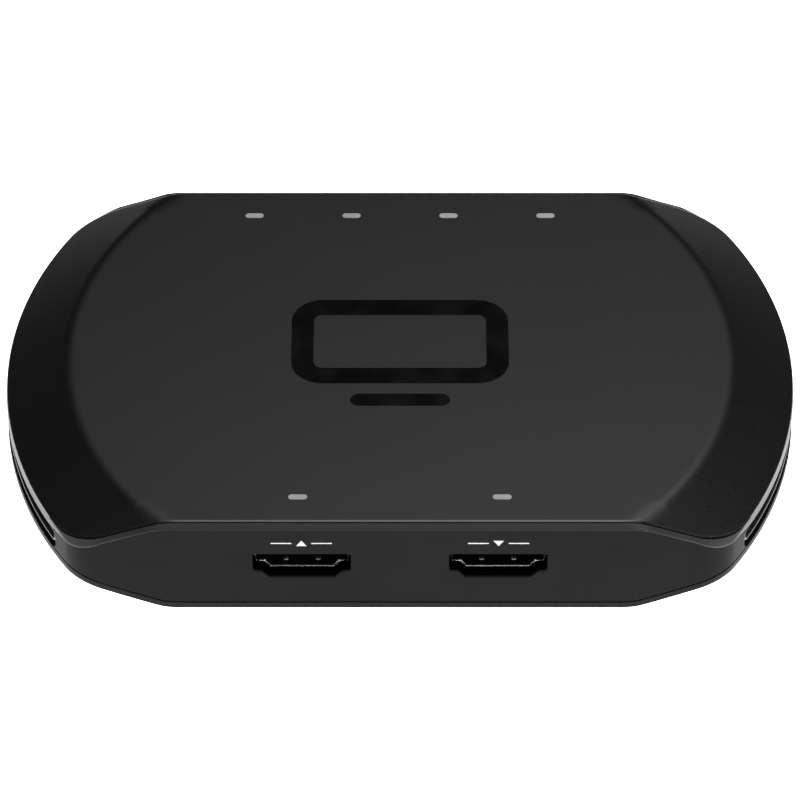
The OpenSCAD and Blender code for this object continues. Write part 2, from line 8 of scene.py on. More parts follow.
import bmesh
import bpy
from bpy.props import FloatProperty, FloatVectorProperty, PointerProperty
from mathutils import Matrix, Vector


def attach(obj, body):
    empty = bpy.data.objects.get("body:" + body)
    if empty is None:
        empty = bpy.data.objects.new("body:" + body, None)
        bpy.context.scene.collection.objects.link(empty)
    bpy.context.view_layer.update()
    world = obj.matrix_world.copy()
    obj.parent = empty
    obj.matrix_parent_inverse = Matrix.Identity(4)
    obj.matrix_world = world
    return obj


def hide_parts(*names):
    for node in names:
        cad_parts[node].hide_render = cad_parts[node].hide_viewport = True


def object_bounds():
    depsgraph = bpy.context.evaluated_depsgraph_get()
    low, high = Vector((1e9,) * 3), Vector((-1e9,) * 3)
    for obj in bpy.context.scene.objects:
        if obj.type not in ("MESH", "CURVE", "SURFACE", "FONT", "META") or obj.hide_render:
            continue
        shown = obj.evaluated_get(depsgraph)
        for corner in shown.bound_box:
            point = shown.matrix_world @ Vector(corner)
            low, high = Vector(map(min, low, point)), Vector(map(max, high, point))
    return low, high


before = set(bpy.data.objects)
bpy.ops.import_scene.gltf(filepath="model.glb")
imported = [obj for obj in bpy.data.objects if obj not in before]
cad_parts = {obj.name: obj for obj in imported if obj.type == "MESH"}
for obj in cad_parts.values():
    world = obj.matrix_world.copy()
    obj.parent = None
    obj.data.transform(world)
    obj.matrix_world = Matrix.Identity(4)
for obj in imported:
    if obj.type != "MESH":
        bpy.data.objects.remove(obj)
CAD_LOW, CAD_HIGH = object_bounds()

bl_info = {
    "name": "Video capture box",
    "version": (1, 0, 0),
    "blender": (4, 5, 0),
    "location": "View3D > Sidebar > Capture box",
    "description": "Dresses the frame of a video capture box with its casing, sockets and signs",
    "category": "Object",
}

MM = 0.001
HAIR = 0.001 * MM
BODY = "root"
SIDES = (-1, 1)
QUARTER_TURN = math.pi / 2
SHARP_ANGLE = math.radians(34)
WHITE = (1.0, 1.0, 1.0, 1.0)

# Places of the light windows along the front, in millimetres, and the rear ones over a jack
FRONT_LIGHTS = (-16, 16)
REAR_LIGHTS = (-24, -8, 8, 24)
JACK_LIGHTS = (0, 2, 3)

# Steps along the parts of the casing's outline, round a circle, a bend and an edge
FRONT_STEPS = 58
CORNER_STEPS = 16
END_STEPS = 60
ROUND_STEPS = 40
BEND_STEPS = 8
EDGE_STEPS = 5

# Rings of the covers, as shares of the way from the middle to the edge
FLAT_SHARES = (0.3, 0.6, 0.72)
WING_RINGS = 44

# How much a corner opens out where the front is drawn in further than the ends
CORNER_EASE = 3.3

# What is left of the front's rim at a corner, and the steps over which it fades along an end
CORNER_SHARE = 0.9
FADE_STEPS = 5

# Further depth of the rear rim: its start at the crease and its share on the wings
SINK_START = 0.25
WING_SINK = 1.2

# Shares of width and fall down the cover's eased edge, and the number of its strips that shine
EDGE_PROFILE = ((0.93, 0.03), (0.86, 0.09), (0.2, 0.62), (0.08, 0.76), (0.0, 1.0))
BRIGHT_STRIPS = 3

# Upper loops of the rim's chamfer, as shares of its width
CHAMFER_SHARES = (0.6, 0.9, 0.96)

# Share of the depth beyond which an edge belongs to a corner
CORNER_FROM = 0.4

# Part of a normal along an axis that still counts as none
SLIGHT = 0.3

# Half width of a mark's arrow and start of its lines, in heights of the arrow
ARROW_HALF = 0.7
LINE_START = 1.3

# Band that holds most of a noise texture's values, and the spread of colour that goes with it
NOISE_BAND = (0.3, 0.7)
CLOUD = 0.12


def amount(value, name, description, **more):
    """A property of nought or more."""
    return FloatProperty(name=name, description=description, default=value, min=0.0, **more)


def length(millimetres, name, description):
    """A length property with a default in millimetres."""
    return amount(millimetres * MM, name, description, unit="LENGTH", precision=5)


def slant(degrees, name, description):
    """An angle property with a default in degrees."""
    return amount(math.radians(degrees), name, description, subtype="ANGLE")


def share(value, name, description):
    """A property between nought and one."""
    return amount(value, name, description, max=1.0, subtype="FACTOR")


def power(watts, name):
    """A lamp's power."""
    return amount(watts, name, f"Power of the {name.lower()}", unit="POWER")


def colour(name, description, *parts):
    """A colour property with a default of one grey level or of three parts."""
    return FloatVectorProperty(
        name=name,
        description=description,
        default=parts if len(parts) == 3 else parts * 3,
        subtype="COLOR",
        size=3,
        min=0.0,
        max=1.0,
    )


class CasingSizes(bpy.types.PropertyGroup):
    """Sizes of the three shells of the casing."""

    width: length((CAD_HIGH.x - CAD_LOW.x) / MM, "Width", "Across the round ends")
    depth: length((CAD_HIGH.y - CAD_LOW.y) / MM, "Depth", "From the front wall to the rear wall")
    top: length(CAD_HIGH.z / MM, "Top", "Height of the flat top above the table")
    foot_stand: length(0.8, "Foot stand", "Height of the underside above the table")
    end_radius: length(66.5, "End radius", "Plan radius of the round ends")
    end_edge: length(60, "End edge", "Distance from the middle beyond which the end's edge lies")
    corner_radius: length(7, "Corner radius", "Plan radius of the upright corners")
    top_flat: length(106.8, "Top flat", "Diameter of the flat part of the top")
    base_flat: length(108, "Base flat", "Diameter of the flat part of the underside")
    top_fall: length(4.9, "Top fall", "Fall of the top to the round ends")
    base_rise: length(5.5, "Base rise", "Rise of the underside to the round ends")
    crease: length(3.6, "Crease", "Radius of the soft crease round the flat parts")
    cover: length(1.8, "Cover", "Thickness of the top cover")
    flange: length(0.8, "Flange", "Thickness of the top cover's edge")
    cover_edge: length(0.11, "Cover edge", "Fall of the top cover's eased edge")
    cover_run: length(0.34, "Cover edge width", "Width of that eased edge in front and behind")
    cover_end_edge: length(0.12, "Cover end edge", "Radius along that edge at the round ends")
    cover_end: length(0.1, "Cover at the ends", "Distance of the top cover inside the wall's end")
    wall: length(2.2, "Wall", "Thickness of the upright wall")
    floor: length(1.9, "Floor", "Thickness of the base cover")
    base_edge: length(1.2, "Base edge", "Height of the base cover's band")
    base_round: length(0.05, "Base rounding", "Radius along the lower edge of that band")
    groove: length(0.2, "Groove", "Height of the groove above the band")
    groove_depth: length(0.14, "Groove depth", "Depth of the groove above the band")
    chamfer_side: length(1.1, "Chamfer in front", "Width of the rim's chamfer in front")
    chamfer_height: length(0.5, "Chamfer height", "Height of the rim's chamfer")
    rim_drop: length(0.2, "Rim drop", "Height of the top cover's edge above the rim")
    rear_drop: length(0.25, "Rear rim drop", "Further depth of the rim below the cover behind")
    rear_run: length(4, "Rear rim run", "Way beyond the crease over which the rear rim sinks")
    rim_edge: length(0.2, "Rim edge", "Rounding where the chamfer meets the wall")
    strip: length(1.6, "End strip", "Height of the bright strip over the end vents")
    rim_land: length(0.05, "Rim land", "Width of the rim's top beside its chamfer")
    seam: length(0.17, "Seam", "Gap between the top cover and the rim")
    spigot_gap: length(0.2, "Spigot gap", "Gap between the wall and the covers' spigots")
    lip_height: length(1.2, "Lip height", "Height of the base cover's lip")
    lip: length(1.2, "Lip", "Thickness of the base cover's lip")
    soft: length(0.06, "Soft edge", "Softening of the moulded edges")
    vent_length: length(67.4, "Vent length", "Length of the vent in each end")
    vent_low: length(8, "Vent edge", "Height of the vent's lower edge above the table")
    vent_height: length(4, "Vent height", "Height of the vent")
    vent_radius: length(1.3, "Vent corners", "Radius of the vent's corners")
    blade_low: length(9.15, "Blade edge", "Height of the louvre blade above the table")
    blade: length(0.5, "Blade", "Thickness of the louvre blade")
    blade_recess: length(0.15, "Blade recess", "Depth of the blade behind the wall's face")
    blade_depth: length(6.5, "Blade depth", "Depth of the blade")
    blade_end_gap: length(0.15, "Blade end gap", "Room between the louvre's ends and the vent")
    louvre_post_x: length(56.4, "Louvre post", "Distance of the louvre posts from the middle")
    louvre_post_y: length(20, "Louvre post place", "Distance of the louvre posts, front to rear")
    louvre_post_width: length(2, "Post width", "Thickness of a louvre post")
    louvre_post_length: length(3, "Post length", "Length of a louvre post along the end")
    louvre_pad: length(8.3, "Louvre pad", "Height of the louvre pads above the table")


class SocketSizes(bpy.types.PropertyGroup):
    """Sizes and places of the sockets."""

    video_x: length(15.4, "Video place", "Distance of the video sockets from the middle")
    video_z: length(10.2, "Video height", "Height of the video sockets' middle")
    video_width: length(15, "Video width", "Width of a video socket's shell")
    video_height: length(5, "Video height", "Height of a video socket's shell")
    video_floor: length(10.2, "Video floor", "Width of the shell's floor")
    video_shoulder: length(1.4, "Shoulder", "Width of the shoulder above each sloping corner")
    video_side: length(3.65, "Video side", "Height of the shell's upright sides")
    video_slope: length(1.25, "Video slope", "Height of the sloping corners")
    video_round: length(0.3, "Video rounding", "Radius of the shell's bends")
    video_length: length(11.5, "Video depth", "Depth of a video socket's shell")
    shell: length(0.2, "Shell", "Thickness of the sheet metal")
    bead: length(0.25, "Bead", "Radius of the rolled bead round a shell's mouth")
    mouth_y: length(37.25, "Mouth", "Distance of the shells' mouths from the middle")
    spring_x: length(2.55, "Spring place", "Distance of the spring bumps from a socket's middle")
    spring_depth: length(1.8, "Spring depth", "Distance of the spring bumps behind the mouth")
    spring_radius: length(0.5, "Spring radius", "Radius of a spring bump")
    spring_height: length(0.28, "Spring height", "Height of a spring bump over the shell's floor")
    spring_root: length(0.1, "Spring root", "Depth of a spring bump in the shell's floor")
    fit_gap: length(0.2, "Fit gap", "Room round a socket in the wall")
    sill_round: length(0.35, "Sill rounding", "Radius along the lower edge of a video cut-out")
    sill_lift: length(0.4, "Sill lift", "Height of the sill above the cut-out's lower edge")
    jack_z: length(10.5, "Jack height", "Height of the rear jacks' middle")
    nose: length(5.2, "Nose", "Diameter of a jack's nose")
    data_x: length(8, "Data place", "Distance of the data socket from the middle")
    data_z: length(9.3, "Data height", "Height of the data socket's middle")
    data_width: length(8.9, "Data width", "Width of the data socket's shell")
    data_height: length(3.2, "Data height", "Height of the data socket's shell")


class UnderSizes(bpy.types.PropertyGroup):
    """Sizes and places of the feet, screws, pillars and posts."""

    foot: length(9, "Foot", "Diameter of a foot")
    foot_x: length(36, "Foot place", "Distance of the feet from the middle, along the front")
    foot_y: length(27, "Foot place to the rear", "Distance of the feet, front to rear")
    foot_pocket: length(0.6, "Foot pocket", "Depth of the pockets that hold the feet")
    foot_round: length(0.35, "Foot rounding", "Radius round a foot's lower edge")
    screw: length(2.5, "Screw", "Diameter of a screw's shank")
    head: length(4.4, "Screw head", "Diameter of a screw's head")
    head_height: length(1.6, "Head height", "Height of a screw's head")
    head_sink: length(0.5, "Head sink", "Depth of a case screw's head below the underside")
    head_round: length(0.4, "Head rounding", "Radius round a case screw's head")
    screw_length: length(11, "Screw length", "Length of a case screw's shank")
    cross: length(2.4, "Cross", "Width of the cross recess in a case screw's head")
    cross_slot: length(0.55, "Cross slot", "Width of each slot of the cross recess")
    cross_depth: length(0.9, "Cross depth", "Depth of the cross recess")
    pillar: length(7.4, "Pillar", "Diameter of the pillars that the case screws pass")
    pillar_height: length(5, "Pillar height", "Height of those pillars above the underside")
    pillar_x: length(45.1, "Pillar place", "Distance of the case screws from the middle")
    pillar_y: length(24, "Pillar place to the rear", "Distance of the case screws, front to rear")
    boss: length(6, "Boss", "Diameter of the top cover's bosses")
    post: length(5.6, "Post", "Diameter of the posts under the board")
    hole_x: length(36, "Post place", "Distance of the board's posts from the middle")
    hole_y: length(30.2, "Post place to the rear", "Distance of the board's posts, front to rear")
    board_low: length(6.1, "Board", "Height of the board's lower face above the table")
    close_gap: length(0.06, "Close gap", "Clearance round feet and screw shanks")


class SignSizes(bpy.types.PropertyGroup):
    """Sizes of the printed and inlaid signs."""

    screen_width: length(35, "Screen width", "Width of the inlaid screen sign")
    screen_depth: length(19.5, "Screen depth", "Size of the screen sign from front to rear")
    screen_line: length(3.6, "Screen line", "Width of the screen sign's line")
    screen_round: length(5, "Screen round", "Radius of the screen sign's corners")
    screen_y: length(2.6, "Screen place", "Distance of the screen sign behind the middle")
    stand_length: length(16, "Stand length", "Length of the bar below the screen sign")
    stand_width: length(2.8, "Stand width", "Width of the bar below the screen sign")
    stand_y: length(10.9, "Stand place", "Distance of the bar in front of the middle")
    inlay_depth: length(0.25, "Inlay depth", "Depth of the inlay's pockets")
    inlay_sink: length(0.06, "Inlay sink", "Depth of the inlay's face below the top")
    inlay_gap: length(0.02, "Inlay gap", "Room round the inlay in its pockets")
    window_length: length(3, "Window length", "Length of a light window")
    window_width: length(1.1, "Window width", "Width of a light window")
    window_gap: length(0.06, "Window gap", "Room round a light window")
    window_inset: length(6.8, "Window inset", "Distance of the windows from the walls")
    mark_z: length(15.3, "Mark height", "Height of the socket marks' middle")
    mark_height: length(1.2, "Mark size", "Height of a socket mark's arrow")
    mark_reach: length(4.8, "Mark reach", "Half the length of a socket mark")
    mark_line: length(0.24, "Mark line", "Thickness of a socket mark's line")
    mark_depth: length(0.08, "Mark depth", "Depth of the print in the wall")
    mark_sink: length(0.01, "Mark sink", "Depth of the print's face behind the wall's face")


class Finishes(bpy.types.PropertyGroup):
    """Colours of the finishes."""

    cover: colour("Cover", "Satin black of the top cover", 0.004)
    wall: colour("Wall", "Satin black of the upright wall", 0.0082)
    # Painted light: the rim and the cover's edges get a paler black than the wall and cover they
    # belong with, where light falls on them
    rim: colour("Rim", "Satin black of the chamfered rim", 0.052)
    # Painted highlight: a paler line along the rounding under the rim's chamfer
    rim_highlight: colour("Rim line", "Paler rounding under the rim's chamfer", 0.09)
    # Painted shade: near-black on the inner walls of the video cut-outs
    mouth: colour("Cut-out", "Shaded black of the video cut-outs", 0.001)
    base: colour("Base", "Matte black of the base cover", 0.0035)
    louvre: colour("Louvre", "Dark grey of the louvre blades", 0.04)
    inlay: colour("Inlay", "Gloss black of the inlaid sign", 0.004)
    window: colour("Window", "Milky grey of the light windows", 0.46)
    ink: colour("Ink", "Pale grey of the printed marks", 0.55)
    metal: colour("Metal", "Tinned sheet metal of the shells", 0.45)
    # Painted shade: a darker copy of the shells' metal, inside them and on their upright sides
    painted_shade_metal: colour("Dull metal", "Sheet metal inside the shells", 0.03)
    # Painted shade: the spring bumps get a darker copy of the shells' metal
    spring: colour("Spring", "Sheet metal of the spring bumps", 0.3)
    gold: colour("Gold", "Plating of the contacts", 0.75, 0.53, 0.2)
    steel: colour("Steel", "Zinc plating of the screws", 0.35, 0.35, 0.36)
    rubber: colour("Rubber", "Black rubber of the feet", 0.012)
    board: colour("Board", "Black lacquer of the circuit board", 0.012, 0.013, 0.014)
    chip: colour("Chip", "Black of the chips and the coil", 0.02, 0.02, 0.022)
    pad: colour("Pad", "Soft grey of the thermal pad", 0.45, 0.47, 0.5)
    pin: colour("Pin", "Ivory of the heat sink's pins", 0.75, 0.72, 0.62)
    sink: colour("Sink", "Anodised aluminium of the heat sink", 0.3, 0.3, 0.31)
    can: colour("Can", "Bright cans of the capacitors", 0.7, 0.7, 0.72)
    floor: colour("Floor", "Pale floor of the stage", 0.5)


class StageSettings(bpy.types.PropertyGroup):
    """Camera and lights."""

    elevation: slant(44.6, "Elevation", "Angle of the camera's sight line above the table")
    tilt: slant(0.39, "Tilt", "Angle by which the camera looks above the casing's middle")
    distance: length(900.4, "Distance", "From the camera to the casing's middle")
    target_low: length(0.42, "Target", "Depth of the aimed point below the table")
    lens: amount(248.2, "Lens", "Focal length in millimetres")
    key: power(3.35, "Overhead light")
    front: power(5.0, "Front light")
    right: power(2.6, "Right light")
    left: power(3.0, "Left light")
    sky: share(0.0, "Sky", "Brightness of the room round the stage")
    # Painted pool of light: the floor itself glows round the casing, with no lamp, and fades
    # further out
    glow: amount(2.6, "Glow", "Brightness of the floor round the casing, as of a light table")
    far_glow: share(0.05, "Far glow", "Brightness of the floor far from the casing")
    glow_front: length(40, "Glow place", "Distance of the glow's middle in front of the casing's")
    glow_near: length(100, "Glow radius", "Radius within which the floor glows evenly")
    glow_far: length(220, "Glow end", "Radius beyond which the floor is at its dimmest")


def casing():
    return bpy.context.scene.box_casing


def sockets():
    return bpy.context.scene.box_sockets


def under():
    return bpy.context.scene.box_under


def signs():
    return bpy.context.scene.box_signs


def finishes():
    return bpy.context.scene.box_finishes


# Outline and heights of the casing


def arc(x, y, radius, start, end, steps, last=0):
    """Points round a centre from one angle to another, the end's own only with last=1."""
    turns = [start + (end - start) * i / steps for i in range(steps + last)]
    return [(x + radius * math.cos(a), y + radius * math.sin(a)) for a in turns]


def plan_outline(side_in, end_in):
    """The outline, moved in by one amount in front and behind and by another at the ends.

    The more the two differ, the rounder the corners are.
    """
    c = casing()
    half_depth = c.depth / 2 - side_in - HAIR
    end_radius = c.end_radius - end_in - HAIR
    corner = c.corner_radius - (side_in + end_in) / 2 + CORNER_EASE * (side_in - end_in)
    end_x = c.width / 2 - c.end_radius
    corner_y = half_depth - corner
    corner_x = end_x + math.sqrt((end_radius - corner) ** 2 - corner_y**2)
    turn = math.atan2(corner_y, corner_x - end_x)
    half = [(corner_x * (2 * i / FRONT_STEPS - 1), -half_depth) for i in range(FRONT_STEPS)]
    half += arc(corner_x, -corner_y, corner, -QUARTER_TURN, -turn, CORNER_STEPS)
    half += arc(end_x, 0.0, end_radius, -turn, turn, END_STEPS)
    half += arc(corner_x, corner_y, corner, turn, QUARTER_TURN, CORNER_STEPS)
    return half + [(-x, -y) for x, y in half]


def ease(part):
    """A share that starts and ends softly."""
    return 0.5 - 0.5 * math.cos(math.pi * part)


def rim_shares():
    """Shares along the outline: whole in front, less over a corner, none at an end's middle."""
    corner = [1 - (1 - CORNER_SHARE) * ease(i / CORNER_STEPS) for i in range(CORNER_STEPS + 1)]
    end = []
    for i in range(END_STEPS):
        near = min(i, END_STEPS - i, FADE_STEPS) / FADE_STEPS
        end.append(CORNER_SHARE * (1 - ease(near)))
    half = [1.0] * FRONT_STEPS + corner[:-1] + end + corner[:0:-1]
    return half + half


RIM_SHARES = rim_shares()


def wing_fall(radius, flat_radius, slope, crease):
    """Fall at a distance from the axis: a flat disc that bends over a crease into a cone."""
    bend = math.atan(slope)
    start = flat_radius - crease * math.tan(bend / 2)
    if radius <= start:
        return 0.0
    if radius < start + crease * math.sin(bend):
        return crease - math.sqrt(crease**2 - (radius - start) ** 2)
    return slope * (radius - flat_radius)


def top_height(x, y):
    c = casing()
    slope = 2 * c.top_fall / (c.width - c.top_flat)
    return c.top - wing_fall(math.hypot(x, y), c.top_flat / 2, slope, c.crease)


def base_height(x, y):
    c = casing()
    slope = 2 * c.base_rise / (c.width - c.base_flat)
    return c.foot_stand + wing_fall(math.hypot(x, y), c.base_flat / 2, slope, c.crease)


def top_loop(side_in, end_in, drop):
    """The outline on the top surface lowered by drop."""
    return [(x, y, top_height(x, y) - drop) for x, y in plan_outline(side_in, end_in)]


def base_loop(inset, lift):
    """The outline, moved in all round, on the underside raised by lift."""
    return [(x, y, base_height(x, y) + lift) for x, y in plan_outline(inset, inset)]


def rear_sink(x, y, part):
    """Share of the rear rim's further depth: more on the wings, less over the corners."""
    c = casing()
    beyond = (math.hypot(x, y) - c.top_flat / 2) / c.rear_run + SINK_START
    return part**6 + WING_SINK * min(max(beyond, 0.0), 1.0) * part**2


def rim_loop(side_in, end_in, drop, end_drop, rear_more=0.0, level=()):
    """The outline lowered by one amount in front and behind and another at the ends.

    The heights are those of the top surface at the loop itself, or at the points in level.
    """
    outline = plan_outline(side_in, end_in)
    loop = []
    for (x, y), at, part in zip(outline, level or outline, RIM_SHARES):
        here = part * drop + (1 - part) * end_drop
        if y > 0:
            here += rear_sink(*at, part) * rear_more
        loop.append((x, y, top_height(*at) - here))
    return loop


def disc_loops(side_in, end_in, height):
    """Loops from the middle out to the outline, close together where the wings bend."""
    outline = plan_outline(side_in, end_in)
    first = FLAT_SHARES[-1]
    rings = list(FLAT_SHARES)
    rings += [first + (1 - first) * i / WING_RINGS for i in range(1, WING_RINGS + 1)]
    loops = [[(0.0, 0.0, height(0.0, 0.0))]]
    for s in rings:
        loops.append([(s * x, s * y, height(s * x, s * y)) for x, y in outline])
    return loops


# Meshes


def loft(bm, loops, closed=False, capped=False):
    """Joins loops with quads, and a loop of one point as a fan."""
    rows = [[bm.verts.new(point) for point in loop] for loop in loops]
    pairs = list(zip(rows, rows[1:]))
    if closed:
        pairs.append((rows[-1], rows[0]))
    for lower, upper in pairs:
        count = max(len(lower), len(upper))
        for i in range(count):
            j = (i + 1) % count
            if len(lower) == 1:
                bm.faces.new((lower[0], upper[j], upper[i]))
            elif len(upper) == 1:
                bm.faces.new((lower[i], lower[j], upper[0]))
            else:
                bm.faces.new((lower[i], lower[j], upper[j], upper[i]))
    if capped:
        bm.faces.new(rows[0])
        bm.faces.new(rows[-1])


def add_prism(bm, outline, start, end, place):
    """A closed prism of a flat outline, put in place by a function of (u, v, w)."""
    loft(bm, [[place(u, v, w) for u, v in outline] for w in (start, end)], capped=True)


def four(x, y):
    """Four places, one in each quarter of the plan."""
    return [(sx * x, sy * y) for sx in SIDES for sy in SIDES]


def ring(x, y, radius, z, steps=ROUND_STEPS):
    """A level circle."""
    return [(u, v, z) for u, v in arc(x, y, radius, 0.0, 2 * math.pi, steps)]


def add_tube(bm, inner, outer, low, high, x, y):
    """An upright tube."""
    corners = ((outer, low), (outer, high), (inner, high), (inner, low))
    loft(bm, [ring(x, y, radius, z) for radius, z in corners], closed=True)


def add_lathe(bm, profile, x, y, steps=ROUND_STEPS):
    """A solid of revolution round an upright axis, from (radius, height) pairs."""
    loops = []
    for radius, z in profile:
        loops.append(ring(x, y, radius, z, steps) if radius else [(x, y, z)])
    loft(bm, loops)


def facing_front(x, z):
    """Places (u, v, w) with u along the front, v up and w to the rear."""
    return lambda u, v, w: (x + u, w, z + v)


def facing_end(side, z):
    """Places (u, v, w) with u from front to rear, v up and w out from the middle."""
    return lambda u, v, w: (side * w, u, z + v)


def facing_up(x, y):
    """Places (u, v, w) with u and v flat and w up."""
    return lambda u, v, w: (x + u, y + v, w)


def circle(diameter):
    return arc(0.0, 0.0, diameter / 2, 0.0, 2 * math.pi, ROUND_STEPS)


def rectangle(width, height):
    x, y = width / 2, height / 2
    return [(-x, -y), (x, -y), (x, y), (-x, y)]


def rounded_rectangle(width, height, radius):
    """Outline of a rectangle with round corners."""
    points = []
    for quarter, (sx, sy) in enumerate(((1, 1), (-1, 1), (-1, -1), (1, -1))):
        x, y = sx * (width / 2 - radius), sy * (height / 2 - radius)
        start = QUARTER_TURN * quarter
        points += arc(x, y, radius, start, start + QUARTER_TURN, BEND_STEPS, last=1)
    return points


def pill(width, height):
    """Outline of a bar with half-round ends."""
    points = []
    for side in SIDES:
        x, start = side * (width - height) / 2, -side * QUARTER_TURN
        points += arc(x, 0.0, height / 2, start, start + math.pi, ROUND_STEPS // 2, last=1)
    return points


def quarter_round(steps):
    """Insets and rises along a rounded lower edge of radius one, from below to the side."""
    turns = [QUARTER_TURN * i / steps for i in range(steps + 1)]
    return [(1 - math.sin(a), 1 - math.cos(a)) for a in turns]


def button(radius, low, rounding):
    """Profile of a disc's lower face with its rounded edge."""
    profile = [(0.0, low)]
    for inset, rise in quarter_round(EDGE_STEPS):
        profile.append((radius - rounding * inset, low + rounding * rise))
    return profile


def round_corners(points, radius):
    """A closed outline with each corner bent over a radius."""
    steps = BEND_STEPS // 2
    rounded = []
    for i, corner in enumerate(points):
        p = Vector(corner)
        before = (Vector(points[i - 1]) - p).normalized()
        after = (Vector(points[(i + 1) % len(points)]) - p).normalized()
        reach = radius / math.tan(before.angle(after) / 2)
        start, end = p + reach * before, p + reach * after
        for k in range(steps + 1):
            u = k / steps
            rounded.append(tuple((1 - u) ** 2 * start + 2 * u * (1 - u) * p + u**2 * end))
    return rounded


def video_outline(grow):
    """Outline of a video socket's shell, grown on all sides."""
    s = sockets()
    half = s.video_width / 2 + grow
    top = s.video_height / 2 + grow
    right = [
        (s.video_floor / 2 + grow / 2, -top),
        (half - s.video_shoulder, s.video_slope - s.video_height / 2 - grow),
        (half, s.video_height / 2 - s.video_side - grow / 2),
        (half, top),
    ]
    return round_corners(right + [(-x, z) for x, z in reversed(right)], s.video_round + grow / 2)


def add_piece(name, bm, material, stands_for=()):
    """Turns a bmesh into a piece that rides on the casing."""
    bmesh.ops.recalc_face_normals(bm, faces=bm.faces)
    mesh = bpy.data.meshes.new(name)
    bm.to_mesh(mesh)
    bm.free()
    mesh.materials.append(material)
    piece = bpy.data.objects.new(name, mesh)
    bpy.context.scene.collection.objects.link(piece)
    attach(piece, BODY)
    if stands_for:
        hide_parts(*stands_for)
    return piece


def carve(piece, cutters):
    """Cuts the shapes in a bmesh out of a piece."""
    bmesh.ops.recalc_face_normals(cutters, faces=cutters.faces)
    mesh = bpy.data.meshes.new("cutters")
    cutters.to_mesh(mesh)
    cutters.free()
    tool = bpy.data.objects.new("cutters", mesh)
    bpy.context.scene.collection.objects.link(tool)
    cut = piece.modifiers.new("Cut", "BOOLEAN")
    cut.operation = "DIFFERENCE"
    cut.solver = "EXACT"
    cut.object = tool
    whole = piece.data
    name = whole.name
    carved = bpy.data.meshes.new_from_object(
        piece.evaluated_get(bpy.context.evaluated_depsgraph_get())
    )
    piece.modifiers.clear()
    piece.data = carved
    bpy.data.objects.remove(tool)
    bpy.data.meshes.remove(mesh)
    bpy.data.meshes.remove(whole)
    carved.name = name
    if not carved.polygons:
        raise RuntimeError(f"cutting {piece.name} left nothing")


def soften(piece, width, chosen):
    """Bevels the sharp edges whose middle is chosen."""
    bm = bmesh.new()
    bm.from_mesh(piece.data)
    edges = [
        edge
        for edge in bm.edges
        if edge.is_manifold
        and edge.calc_face_angle() > SHARP_ANGLE
        and chosen((edge.verts[0].co + edge.verts[1].co) / 2)
    ]
    bmesh.ops.bevel(bm, geom=edges, offset=width, segments=2, profile=0.5, affect="EDGES")
    bm.to_mesh(piece.data)
    bm.free()


def refinish(piece, material, chosen):
    """Gives the faces that are chosen a further finish."""
    index = len(piece.data.materials)
    piece.data.materials.append(material)
    for face in piece.data.polygons:
        if chosen(face):
            face.material_index = index


def shade_smooth(piece):
    """Smooth shading with sharp edges kept."""
    mesh = piece.data
    mesh.polygons.foreach_set("use_smooth", [True] * len(mesh.polygons))
    mesh.set_sharp_from_angle(angle=SHARP_ANGLE)
    even = piece.modifiers.new("Even shading", "WEIGHTED_NORMAL")
    even.keep_sharp = True


# Materials


class Finish:
    """A material under construction: its nodes, its shader and its coordinates."""

    def __init__(self, name, roughness, metallic=0.0, specular=0.5):
        self.material = bpy.data.materials.new(name)
        self.material.use_nodes = True
        self.tree = self.material.node_tree
        self.place = self.add("ShaderNodeTexCoord", "Object", {})
        self.set({"Roughness": roughness, "Metallic": metallic, "Specular IOR Level": specular})

    def fill(self, node, inputs):
        """Sets a node's inputs to values, or joins them to outputs of other nodes."""
        for name, value in inputs.items():
            if isinstance(value, bpy.types.NodeSocket):
                self.tree.links.new(value, node.inputs[name])
            else:
                node.inputs[name].default_value = value

    def set(self, inputs):
        """Fills inputs of the shader."""
        self.fill(self.tree.nodes["Principled BSDF"], inputs)

    def add(self, kind, output, inputs, **settings):
        """An output of a new node."""
        node = self.tree.nodes.new(kind)
        for name, value in settings.items():
            setattr(node, name, value)
        self.fill(node, inputs)
        return node.outputs[output]

    def run(self, value, start, end, low, high, easing="LINEAR"):
        """A number that runs from low to high while another runs from start to end."""
        ends = {"From Min": start, "From Max": end, "To Min": low, "To Max": high}
        inputs = {"Value": value, **ends}
        return self.add("ShaderNodeMapRange", "Result", inputs, interpolation_type=easing)

    def noise(self, per_mm, detail=2.0, rough=0.5):
        """Noise with a number of features per millimetre along each axis."""
        scale = [part / MM for part in per_mm]
        at = self.add("ShaderNodeMapping", "Vector", {"Vector": self.place, "Scale": scale})
        inputs = {"Vector": at, "Scale": 1.0, "Detail": detail, "Roughness": rough}
        return self.add("ShaderNodeTexNoise", "Fac", inputs)

    def colour(self, factor, base, spread):
        """Base colour that varies by a share with a factor."""
        ramp = self.tree.nodes.new("ShaderNodeValToRGB")
        for element, at, sign in zip(ramp.color_ramp.elements, NOISE_BAND, SIDES):
            element.position = at
            element.color = [part * (1 + sign * spread) for part in base] + [1.0]
        self.fill(ramp, {"Fac": factor})
        self.set({"Base Color": ramp.outputs["Color"]})

    def grain(self, roughness, vary, relief, *noise):
        """Noise that shows in the roughness and in a relief, whose height is in millimetres."""
        grain = self.noise(*noise)
        rough = self.run(grain, *NOISE_BAND, roughness - vary, roughness + vary)
        inputs = {"Height": grain, "Strength": 1.0, "Distance": relief * MM}
        self.set({"Roughness": rough, "Normal": self.add("ShaderNodeBump", "Normal", inputs)})
        return grain


def grained_plastic(name, base, roughness):
    """Satin plastic with a fine grain that is drawn out along the front."""
    finish = Finish(name, roughness)
    finish.grain(roughness, 0.04, 0.004, (0.9, 2.4, 0.9), 3.0, 0.6)
    finish.colour(finish.noise((0.05, 0.08, 0.05)), base, CLOUD)
    return finish.material


